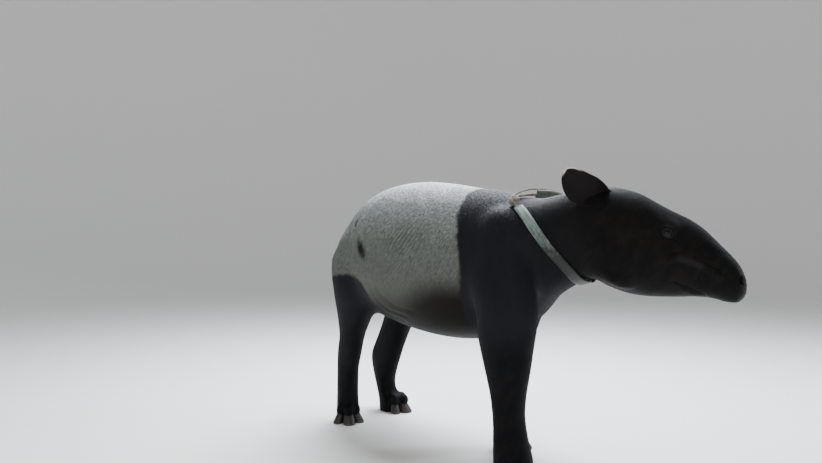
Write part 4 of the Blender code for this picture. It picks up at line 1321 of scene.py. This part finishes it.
def tube_faces(first, rows, columns):
    """The faces of a closed tube, whose points are numbered ring by ring from first on."""
    faces = []
    for row in range(rows - 1):
        for column in range(columns):
            here = first + row * columns + column
            beside = first + row * columns + (column + 1) % columns
            faces.append((here, beside, beside + columns, here + columns))
    last = first + (rows - 1) * columns
    faces.append(tuple(range(first + columns - 1, first - 1, -1)))
    faces.append(tuple(range(last, last + columns)))
    return faces


def build_mesh(name, points, faces, **values):
    """A smooth mesh with outward faces and with a value for each point under each given name."""
    mesh = bpy.data.meshes.new(name)
    mesh.from_pydata([tuple(point) for point in points], [], faces)
    bm = bmesh.new()
    bm.from_mesh(mesh)
    bmesh.ops.recalc_face_normals(bm, faces=bm.faces)
    bm.to_mesh(mesh)
    bm.free()
    for key, numbers in values.items():
        give(mesh, key, numbers)
    mesh.shade_smooth()
    return mesh


def grain(tree, along, across, detail=3.0):
    """A noise over a piece's own two lengths, along and round; its grain is given in mm."""
    ways = {axis: add(tree, "ShaderNodeAttribute", out="Fac", attribute_name=name)
            for axis, name in (("X", "along"), ("Y", "round"))}
    scaled = add(tree, "ShaderNodeMapping",
                 {"Vector": add(tree, "ShaderNodeCombineXYZ", ways),
                  "Scale": (1000 / along, 1000 / across, 1.0)}, vector_type="POINT")
    return add(tree, "ShaderNodeTexNoise",
               {"Vector": scaled, "Scale": 1.0, "Detail": detail, "Roughness": 0.6}, "Fac")


# %% [markdown]
# The eyes. The real ball is dark brown all over what the lids leave free: a black pupil, a brown
# iris with fine fibres from its middle to its edge, and a dark ring round that. The cornea bulges
# a little in front, and tears make it glossy, so it mirrors the lamps.

# %% The eyes
IRIS_RADIUS = 11.5 * MM
PUPIL = (5.2 * MM, 3.9 * MM)
CORNEA_RISE = 0.8 * MM
IRIS_BROWN = linear("#0c0704")
IRIS_FIBRE = linear("#1a1009")
EYE_RING = linear("#090605")
EYE_WHITE = linear("#1d1714")
PUPIL_BLACK = linear("#020202")


def eyeball(name, side):
    """One eye, with each point's place across the iris and round it."""
    look, long_way, short_way = eye_axes(side)
    turn = Matrix((long_way, short_way, look)).transposed()
    ball = bmesh.new()
    bmesh.ops.create_uvsphere(ball, u_segments=72, v_segments=56, radius=EYE_RADIUS)
    flat = np.array([vert.co for vert in ball.verts])
    faces = [[vert.index for vert in face.verts] for face in ball.faces]
    ball.free()
    across = np.linalg.norm(flat[:, :2], axis=1)
    front = flat[:, 2] > 0
    bulge = 1 + CORNEA_RISE * hill(across, IRIS_RADIUS * 1.2) * front / EYE_RADIUS
    points = (flat * bulge[:, None]) @ np.array(turn).T + np.array(middle(name))
    iris = np.where(front, across / IRIS_RADIUS, 3.0)
    pupil = np.where(front, np.hypot(flat[:, 0] / PUPIL[0], flat[:, 1] / PUPIL[1]), 9.0)
    around = np.arctan2(flat[:, 1], flat[:, 0])
    return build_mesh(name, points, faces, iris=iris, pupil=pupil, fibre_x=np.cos(around),
                      fibre_y=np.sin(around))


def eye_material():
    """A wet, living eye under a layer of tears."""
    material, tree, shader = new_material("wet eye")
    stored = {name: add(tree, "ShaderNodeAttribute", out="Fac", attribute_name=name)
              for name in ("iris", "pupil", "fibre_x", "fibre_y")}
    ring = add(tree, "ShaderNodeMath", {0: stored["iris"], 1: 0.12}, operation="MULTIPLY")
    turn = add(tree, "ShaderNodeCombineXYZ", {"X": stored["fibre_x"], "Y": stored["fibre_y"], "Z": ring})
    fibres = add(tree, "ShaderNodeTexNoise", {"Vector": turn, "Scale": 16.0, "Detail": 3.0}, "Fac")
    colour = paint(tree, IRIS_BROWN, IRIS_FIBRE, fibres, 0.4, 0.65)
    colour = paint(tree, colour, EYE_RING, stored["iris"], 0.72, 0.98)
    colour = paint(tree, colour, EYE_WHITE, stored["iris"], 1.05, 1.25)
    colour = paint(tree, colour, PUPIL_BLACK, stored["pupil"], 1.06, 0.94)
    feed(tree, shader, {"Base Color": colour, "Roughness": 0.60, "Specular IOR Level": 0.0,
                        "Coat Weight": 1.0, "Coat IOR": 1.34, "Coat Roughness": 0.02})
    return material


EYE_FINISH = eye_material()
for name, side in EYE_SIDES:
    eye = new_object(name + "_ball", eyeball(name, side))
    eye.data.materials.append(EYE_FINISH)
    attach(eye, "root")
    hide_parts(name)
print("eyes:", len(eye.data.vertices), "points each")

# %% [markdown]
# The hooves. Each toe ends in a blunt cap of horn. Horn grows down from the skin, so it shows
# fine rings across and fibres down its wall. It is dark, dull, and worn paler at the lower edge.
# The real fibres are too fine to show, so they are drawn 0.9 mm wide.

# %% The hooves
HOOF_HEIGHT = 0.038
HOOF_PROFILE = ((0.0, 0.0232, 1.04), (0.0012, 0.0250, 1.12), (0.006, 0.0260, 1.16), (0.018, 0.0228, 1.09),
                (0.031, 0.0182, 0.95), (HOOF_HEIGHT, 0.0135, 0.78))
HOOF_SLOPE = 0.35
HOOF_ROWS = 26
HOOF_POINTS = 44
RING_SPACING = 3.6 * MM
RING_HEIGHT = 0.25 * MM
HORN_DARK = linear("#16120f")
HORN_FIBRE = linear("#3b322a")
HORN_WORN = linear("#5d5346")


def rounded(angle, power):
    """The cosine and sine of an angle, drawn out towards a rounded square."""
    circle = (math.cos(angle), math.sin(angle))
    return tuple(math.copysign(abs(value) ** (2 / power), value) for value in circle)


def hooves(foot):
    """All hooves of one foot in one mesh."""
    heights, lengths, widths = zip(*HOOF_PROFILE)
    rows = [0.0, 0.0012] + list(np.linspace(0.003, HOOF_HEIGHT, HOOF_ROWS - 2))
    points = []
    faces = []
    along = []
    around = []
    for number, toe in enumerate(TOES[foot[:4]]):
        middle_point, ahead, aside, half = toe_axes(foot, toe)
        faces += tube_faces(len(points), HOOF_ROWS, HOOF_POINTS)
        for height in rows:
            ridge = RING_HEIGHT * math.sin(2 * math.pi * height / RING_SPACING + number)
            ridge *= min(height / 0.006, 1.0)
            length = float(np.interp(height, heights, lengths)) + ridge
            width = half * float(np.interp(height, heights, widths)) + ridge
            for corner in range(HOOF_POINTS):
                angle = 2 * math.pi * corner / HOOF_POINTS
                forward, sideways = rounded(angle, 2.35)
                place = (middle_point + ahead * (length * forward - HOOF_SLOPE * height)
                         + aside * width * sideways)
                points.append((place.x, place.y, height))
                along.append(height + number)
                around.append(half * math.sin(angle) + 0.4 * number)
    return build_mesh("hooves", points, faces, along=along, round=around)


def horn_material():
    """Hoof horn: dull keratin with growth rings across and fibres down."""
    material, tree, shader = new_material("hoof horn")
    fibres = grain(tree, 16, 0.9)
    rings = grain(tree, 2.2, 30)
    place = add(tree, "ShaderNodeTexCoord", out="Object")
    height = add(tree, "ShaderNodeSeparateXYZ", {0: place}, "Z")
    colour = paint(tree, HORN_DARK, HORN_FIBRE, fibres, 0.42, 0.72, 0.75)
    colour = paint(tree, colour, HORN_WORN, layered(tree, height, (fibres, 0.006)), 0.011, 0.003, 0.7)
    rough = add(tree, "ShaderNodeMapRange",
                {"Value": rings, "From Min": 0.3, "From Max": 0.7, "To Min": 0.36, "To Max": 0.58})
    bump = add(tree, "ShaderNodeBump",
               {"Height": layered(tree, rings, (fibres, 0.6)), "Strength": 0.8, "Distance": 0.5 * MM})
    feed(tree, shader, {"Base Color": colour, "Roughness": rough, "Normal": bump})
    return material


HORN = horn_material()
for foot in FEET:
    piece = new_object("hooves_" + foot, hooves(foot))
    piece.data.materials.append(HORN)
    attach(piece, "root")
    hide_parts(*[f"hoof_{foot}_{number + 1}" for number in range(len(TOES[foot[:4]]))])
print("hooves:", sum(len(TOES[foot[:4]]) for foot in FEET))

# %% [markdown]
# The collar lies round the neck. Its line is found the way a real one finds it, by laying it on
# the skin: rays from outside towards the neck's middle line give the place for each turn, and
# slack is smoothed out of it. Beside the crest, on the left, it stands a little off the neck.

# %% The collar's line
NECK_ROOT = Vector((0.800, 0.000, 0.710))
NECK_TURN = math.radians(14)
COLLAR_PATH = ((-180, 0.222, 0.0), (-130, 0.207, 0.0), (-112, 0.188, 0.0), (-86, 0.138, 0.0),
               (-58, 0.076, 0.0), (-47, 0.050, 0.0), (-37, 0.009, 0.0), (-28, 0.004, 0.0),
               (-14, 0.012, 0.0), (0, 0.027, 0.001), (12, 0.049, 0.010), (24, 0.078, 0.028),
               (38, 0.113, 0.042), (60, 0.156, 0.039), (90, 0.190, 0.012), (120, 0.207, 0.0),
               (180, 0.222, 0.0))
KNOT_TURN = -37
HOSE_WIDTH = 29.0 * MM
HOSE_THICK = 11.0 * MM
HOSE_WALL = 1.8 * MM
HOSE_ON_EDGE = (math.radians(58), 8, 95)
ROPE_RADIUS = 4.5 * MM
ROPE_SINK = 2.0 * MM
STRAND_RADIUS = 3.0 * MM
STRAND_TURNS = (-32.7, 8.0, 62.0)
SKIN_CLEARANCE = 1.8 * MM
SLACK_ROUNDS = 30
LINE_ROUNDS = 4


def collar_line():
    """Turns about the neck, and for each one the collar's middle and the way out from the skin."""
    flesh = joined_flesh()
    corners = [vert.co for vert in flesh.vertices]
    tree = BVHTree.FromPolygons(corners, [face.vertices for face in flesh.polygons])
    turns, reaches, offsets = zip(*COLLAR_PATH)
    ahead = Vector((math.cos(NECK_TURN), math.sin(NECK_TURN), 0))
    aside = Vector((-math.sin(NECK_TURN), math.cos(NECK_TURN), 0))
    samples = np.linspace(-190, 190, 191)
    middles = []
    ways = []
    outward = []
    least = []
    for turn in samples:
        within = (turn + 180) % 360 - 180
        way = aside * math.sin(math.radians(turn)) + Vector((0, 0, math.cos(math.radians(turn))))
        neck_middle = BODY_ORIGIN + NECK_ROOT + ahead * float(np.interp(within, turns, reaches))
        hit, normal, _, _ = tree.ray_cast(neck_middle + way * 0.5, -way)
        middles.append(neck_middle)
        ways.append(way)
        outward.append(normal)
        least.append((hit - neck_middle).length + HOSE_THICK / 2 + SKIN_CLEARANCE
                     + float(np.interp(within, turns, offsets)))
    least = np.array(least)
    eased = least.copy()
    middles = np.array(middles)
    outward = np.array(outward)
    for _ in range(SLACK_ROUNDS):
        for row in (eased, middles, outward):
            row[1:-1] = (row[:-2] + 2 * row[1:-1] + row[2:]) / 4
    centres = middles + np.array(ways) * np.maximum(eased, least)[:, None]
    for _ in range(LINE_ROUNDS):
        centres[1:-1] = (centres[:-2] + 2 * centres[1:-1] + centres[2:]) / 4
    return samples, centres, outward


COLLAR_LINE = collar_line()


def read_rows(at, known, rows):
    """Rows of three numbers, read at places between the known ones."""
    return np.stack([np.interp(at, known, rows[:, axis]) for axis in range(3)], axis=1)


def along_collar(start, end, spacing, rise=None):
    """Evenly spaced places between two turns: turn, middle, forward, across, outward and length so far."""
    samples, centres, outward = COLLAR_LINE
    fine = np.linspace(start, end, 400)
    line = read_rows(fine, samples, centres)
    out = read_rows(fine, samples, outward)
    out /= np.linalg.norm(out, axis=1)[:, None]
    if rise:
        line += out * np.array([rise(turn) for turn in fine])[:, None]
    passed = run_lengths(line)
    lengths = np.linspace(0, passed[-1], max(int(passed[-1] / spacing), 4))
    turns = np.interp(lengths, passed, fine)
    line = read_rows(lengths, passed, line)
    out = read_rows(lengths, passed, out)
    return turns, line, *frames(line, out), lengths


def frames(line, out):
    """At each place of a line: forward, across and outward."""
    forward = np.gradient(line, axis=0)
    forward /= np.linalg.norm(forward, axis=1)[:, None]
    across = np.cross(forward, out)
    across /= np.linalg.norm(across, axis=1)[:, None]
    return forward, across, np.cross(across, forward)


print("collar's line:", round(float(run_lengths(COLLAR_LINE[1])[-1]), 3), "m")

# %% [markdown]
# Two lengths of soft hose are threaded on the rope, to keep it from chafing. Each is pressed
# flat by its pull on the neck, with folded edges and open ends. The hose is pale grey-green and
# weathered, with fine pale streaks and dirt along it. Its lower part is painted darker as painted
# shade, and its top paler as painted light.

# %% The hose
HOSE_POINTS = 56
HOSE_MOUTH = 22.0 * MM
HOSE_RING_SPACING = 3.0 * MM
HOSE_LIP_INSET = 0.5 * MM
HOSE_LIP_PROUD = 0.7 * MM
HOSE_GREEN = linear("#5d6e68")
HOSE_STREAK_AND_TOP_LIGHT = linear("#a4b1a6")
HOSE_DIRT_AND_SHADE = linear("#12120f")


def on_edge(turn):
    """How far the left hose is turned on its edge."""
    most, start, end = HOSE_ON_EDGE
    return most * (1 - float(smoothstep(start, end, turn)))


def hose(start, end, lean):
    """One flattened hose, with walls, open ends and lips."""
    turns, line, forward, across, out, lengths = along_collar(start, end, HOSE_RING_SPACING)
    inner = (HOSE_WIDTH / 2 - HOSE_WALL, HOSE_THICK / 2 - HOSE_WALL)
    outer = (HOSE_WIDTH / 2, HOSE_THICK / 2)
    lip = (outer[0] - HOSE_LIP_INSET, outer[1] - HOSE_LIP_INSET)
    mouth = int(HOSE_MOUTH / HOSE_RING_SPACING)
    last = len(line) - 1
    rings = [(index, inner, 0.0) for index in range(mouth, -1, -1)]
    rings += [(0, lip, -HOSE_LIP_PROUD)]
    rings += [(index, outer, 0.0) for index in range(last + 1)]
    rings += [(last, lip, HOSE_LIP_PROUD)]
    rings += [(index, inner, 0.0) for index in range(last, last - mouth - 1, -1)]
    points = []
    along = []
    around = []
    for index, (half_width, half_thick), push in rings:
        swing = lean(turns[index]) if lean else 0.0
        wide = across[index] * math.cos(swing) + out[index] * math.sin(swing)
        thick = out[index] * math.cos(swing) - across[index] * math.sin(swing)
        press = 1 + 0.05 * math.sin(lengths[index] * 61) + 0.03 * math.sin(lengths[index] * 147)
        for corner in range(HOSE_POINTS):
            angle = 2 * math.pi * corner / HOSE_POINTS
            sideways, outwards = rounded(angle, 2.5)
            pinch = 1 - 0.16 * hill(abs(sideways), 0.75)
            points.append(line[index] + forward[index] * push + wide * half_width * sideways
                          + thick * half_thick * press * outwards * pinch)
            along.append(lengths[index])
            around.append(HOSE_WIDTH * angle / math.pi)
    return build_mesh("hose", points, tube_faces(0, len(rings), HOSE_POINTS), along=along, round=around)


def hose_material():
    """Weathered rubber hose with streaks along it, painted shade low down and painted light on top."""
    material, tree, shader = new_material("weathered hose")
    streaks = grain(tree, 70, 1.6, 4.0)
    place = add(tree, "ShaderNodeTexCoord", out="Object")
    height = add(tree, "ShaderNodeSeparateXYZ", {0: place}, "Z")
    spots = add(tree, "ShaderNodeTexNoise", {"Vector": place, "Scale": 90.0, "Detail": 5.0}, "Fac")
    level = layered(tree, height, (spots, 0.12))
    colour = paint(tree, HOSE_GREEN, HOSE_STREAK_AND_TOP_LIGHT, streaks, 0.45, 0.72, 0.85)
    colour = paint(tree, colour, HOSE_DIRT_AND_SHADE, grain(tree, 160, 6), 0.50, 0.72, 0.40)
    # Painted shade: the hose is darker towards its lower part. Painted light: its top is paler.
    colour = paint(tree, colour, HOSE_DIRT_AND_SHADE, level, 0.82, 0.735, 0.97)
    colour = paint(tree, colour, HOSE_STREAK_AND_TOP_LIGHT, level, 0.91, 0.97, 0.70)
    rough = add(tree, "ShaderNodeMapRange",
                {"Value": streaks, "From Min": 0.3, "From Max": 0.7, "To Min": 0.48, "To Max": 0.66})
    bump = add(tree, "ShaderNodeBump",
               {"Height": layered(tree, streaks, (spots, 0.5)), "Strength": 0.9, "Distance": 0.35 * MM})
    feed(tree, shader, {"Base Color": colour, "Roughness": rough, "Normal": bump, "Specular IOR Level": 0.4})
    return material


HOSE_FINISH = hose_material()
for side, start, end, lean in (("right", -47.0, -173.0, None), ("left", 8.0, 173.0, on_edge)):
    piece = new_object("hose_" + side, hose(start, end, lean))
    piece.data.materials.append(HOSE_FINISH)
    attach(piece, "root")
    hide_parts("collar_sleeve_" + side)
    print("hose", side, len(piece.data.vertices), "points")

# %% [markdown]
# The rope is laid from three strands that twist round each other. It runs through both hoses,
# is wound and knotted beside the crest, and one thin tail of it runs along the left hose's
# upper edge. The knot is three turns of the rope round itself, with one strand across them.
# A real fibre of it is far thinner than the 0.45 mm that it is drawn with, so that it shows.

# %% The rope and its knot
ROPE_BEIGE = linear("#a9a298")
ROPE_PALE = linear("#d0cbc2")
ROPE_DARK = linear("#4a4239")

# A strand goes once round the rope over seven times the rope's radius.
ROPE_TWIST = 7
RINGS_PER_TWIST = 18
STRAND_SIDES = 10
KNOT_TURNS = 3.2
KNOT_WIDTH = 31 * MM
KNOT_RADIUS = 8.6 * MM
KNOT_OFF_SKIN = 13.0 * MM
CROSSING_HEIGHT = 9.6 * MM
CROSSING_LOW = 1.5 * MM
CROSSING_LONG = 17 * MM
CROSSING_ASIDE = 7 * MM


def low_rope(_):
    """The rope is thinner than the hose, so it lies closer to the skin at every turn."""
    return -ROPE_SINK


def over_rope(turn):
    """How far the thin tail stands off the collar's line: over the rope, then over the hose."""
    start, sleeve = STRAND_TURNS[:2]
    edge = math.hypot(HOSE_WIDTH / 2 * math.sin(on_edge(turn)), HOSE_THICK / 2 * math.cos(on_edge(turn)))
    rope = ROPE_RADIUS - ROPE_SINK
    return rope + (edge - rope) * float(smoothstep(start, sleeve, turn)) + STRAND_RADIUS + 0.4 * MM


def lay_rope(store, line, out, radius, pitch):
    """Adds three twisted strands along a line to the lists of points, faces and values in store."""
    lengths = run_lengths(line)
    count = max(int(lengths[-1] / (pitch / RINGS_PER_TWIST)), 8)
    even = np.linspace(0, lengths[-1], count)
    line = read_rows(even, lengths, line)
    out = read_rows(even, lengths, out)
    _, across, outward = frames(line, out)
    for strand in range(3):
        phase = 2 * math.pi * (even / pitch + strand / 3)
        centres = line + radius * 0.50 * (across * np.cos(phase)[:, None] + outward * np.sin(phase)[:, None])
        _, side_way, up_way = frames(centres, outward)
        store["faces"] += tube_faces(len(store["points"]), count, STRAND_SIDES)
        for index in range(count):
            end_gap = min(index, count - 1 - index)
            thick = radius * 0.52 * (0.55, 0.88, 1.0)[min(end_gap, 2)]
            for corner in range(STRAND_SIDES):
                angle = 2 * math.pi * corner / STRAND_SIDES
                store["points"].append(centres[index] + thick * (side_way[index] * math.cos(angle)
                                                                 + up_way[index] * math.sin(angle)))
                store["along"].append(even[index] + strand)
                store["round"].append(radius * angle * 0.5 + even[index] * 0.55)


def knot_lines():
    """The knot's two lines round its middle: the wound turns, and the strand across them."""
    samples, centres, outward = COLLAR_LINE
    beside = int(np.argmin(abs(samples - KNOT_TURN)))
    out = outward[beside] / np.linalg.norm(outward[beside])
    centre = centres[beside] + out * (KNOT_OFF_SKIN - HOSE_THICK / 2)
    t = np.linspace(0, 1, 120)
    turns = 2 * math.pi * KNOT_TURNS * t + 1.0
    tucked = KNOT_RADIUS * (1 - 0.60 * abs(2 * t - 1) ** 7)
    axis = np.array([1.0, 0.0, 0.0])
    wound = np.stack([(t - 0.5) * KNOT_WIDTH, tucked * np.cos(turns), tucked * np.sin(turns)], axis=1)
    yield centre + wound, wound * (0, 1, 1)
    aside = np.cross(axis, out)
    u = np.linspace(-1, 1, 40)
    lift = CROSSING_HEIGHT * (1 - abs(u) ** 2.4) + CROSSING_LOW
    reach = axis * CROSSING_LONG + aside * CROSSING_ASIDE
    yield centre + reach * u[:, None] + out * lift[:, None], out + axis * u[:, None] * 0.8


# Each run of rope has its first and last turn about the neck, its radius, and its way of standing
# off the collar's line.
ROPE_RUNS = ((-41.0, -51.0, ROPE_RADIUS, None), (-31.0, 12.0, ROPE_RADIUS, low_rope),
             (169.0, 191.0, ROPE_RADIUS, None),
             (STRAND_TURNS[0], STRAND_TURNS[2], STRAND_RADIUS, over_rope))
store = {"points": [], "faces": [], "along": [], "round": []}
for start, end, radius, rise in ROPE_RUNS:
    _, line, _, _, out, _ = along_collar(start, end, 2.0 * MM, rise)
    lay_rope(store, line, out, radius, radius * ROPE_TWIST)
for line, out in knot_lines():
    lay_rope(store, line, out, ROPE_RADIUS, ROPE_RADIUS * ROPE_TWIST)


def rope_material():
    """Laid rope: dull fibres along each strand, dark and beige, with paler patches."""
    material, tree, shader = new_material("twisted rope")
    fibres = grain(tree, 14, 0.45, 4.0)
    colour = paint(tree, ROPE_DARK, ROPE_BEIGE, fibres, 0.38, 0.68)
    colour = paint(tree, colour, ROPE_PALE, grain(tree, 35, 20), 0.45, 0.70, 0.7)
    bump = add(tree, "ShaderNodeBump", {"Height": fibres, "Strength": 1.0, "Distance": 0.6 * MM})
    feed(tree, shader, {"Base Color": colour, "Normal": bump, "Roughness": 0.85,
                        "Specular IOR Level": 0.2, "Sheen Weight": 0.15})
    return material


rope = new_object("rope", build_mesh("rope", **store))
rope.data.materials.append(rope_material())
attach(rope, "root")
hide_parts("collar_rope_right", "collar_rope_left", "collar_rope_throat", "collar_rope_strand",
            "collar_knot")
print("rope:", len(rope.data.vertices), "points")

# %% [markdown]
# The one skin now stands for all the flesh and both ears, in place of their solids. The solids
# of the eyes, hooves and collar have pieces of their own already.

# %% The skin takes the place of the flesh
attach(skin, "root")
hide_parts(*FLESH, *EARS)
print("replaced by the skin:", ", ".join(FLESH + EARS))

# %% [markdown]
# The studio. A pale paper floor curves up into a wall all round, like a shallow bowl, so no
# horizon line shows from any side, and it stands well outside every view's camera. Daylight
# falls from above and behind, so the back is bright and the side that faces the camera is dim.
# A large soft box does the same here, a weaker one from the front opens up the black coat, and
# a strip behind draws a thin edge of light round the head.

# %% Floor and light
FLOOR_RADIUS = 6.0
WALL_BEND = 3.5
WALL_TOP = 5.5


def bowl_mesh():
    """A round floor that bends up into a wall."""
    profile = [(0.0, 0.0), (2.0, 0.0), (FLOOR_RADIUS, 0.0)]
    for step in range(1, 13):
        turn = step / 12 * math.pi / 2
        profile.append((FLOOR_RADIUS + WALL_BEND * math.sin(turn), WALL_BEND * (1 - math.cos(turn))))
    profile.append((FLOOR_RADIUS + WALL_BEND, WALL_TOP))
    bm = bmesh.new()
    line = [bm.verts.new((reach, 0, height)) for reach, height in profile]
    edges = [bm.edges.new(pair) for pair in zip(line, line[1:])]
    bmesh.ops.spin(bm, geom=line + edges, axis=(0, 0, 1), cent=(0, 0, 0), steps=96, angle=2 * math.pi)
    bmesh.ops.remove_doubles(bm, verts=bm.verts, dist=1e-4)
    bmesh.ops.recalc_face_normals(bm, faces=bm.faces)
    mesh = bpy.data.meshes.new("floor")
    bm.to_mesh(mesh)
    bm.free()
    mesh.shade_smooth()
    return mesh


def paper_material():
    """Matt background paper, which scatters light evenly; its fibre is drawn coarse, at about 1 mm."""
    material, tree, shader = new_material("matt background paper")
    place = add(tree, "ShaderNodeTexCoord", out="Object")
    fibre = add(tree, "ShaderNodeTexNoise", {"Vector": place, "Scale": 900.0, "Detail": 2.0}, "Fac")
    bump = add(tree, "ShaderNodeBump", {"Height": fibre, "Strength": 0.05, "Distance": 0.2 * MM})
    feed(tree, shader, {"Normal": bump, "Base Color": linear("#f0efec"), "Roughness": 0.9,
                        "Specular IOR Level": 0.2})
    return material


def soft_box(name, place, target, width, depth, watts, colour):
    """A large flat lamp aimed at a point."""
    lamp = bpy.data.lights.new(name, "AREA")
    lamp.shape = "ELLIPSE"
    lamp.size = width
    lamp.size_y = depth
    lamp.energy = watts
    lamp.color = linear(colour)[:3]
    stand = bpy.data.objects.new(name, lamp)
    stand.location = place
    stand.rotation_euler = (Vector(target) - Vector(place)).to_track_quat("-Z", "Y").to_euler()
    bpy.context.scene.collection.objects.link(stand)


floor = new_object("floor", bowl_mesh())
floor.data.materials.append(paper_material())
world = bpy.data.worlds.new("studio")
world.use_nodes = True
feed(world.node_tree, world.node_tree.nodes["Background"],
     {"Color": linear("#eef2f6"), "Strength": 0.55})
bpy.context.scene.world = world
soft_box("over the back", (-0.95, 0.85, 2.7), (-0.2, 0.0, 0.75), 2.0, 2.0, 290, "#f2f6ff")
soft_box("front fill", (2.6, -2.9, 2.3), (0.3, 0.0, 0.6), 0.8, 0.8, 46, "#fff6ea")
soft_box("edge light", (1.6, 2.9, 2.4), (0.4, 0.0, 0.6), 0.5, 2.0, 60, "#eaf2ff")
print("floor and", len(bpy.data.lights), "lamps")
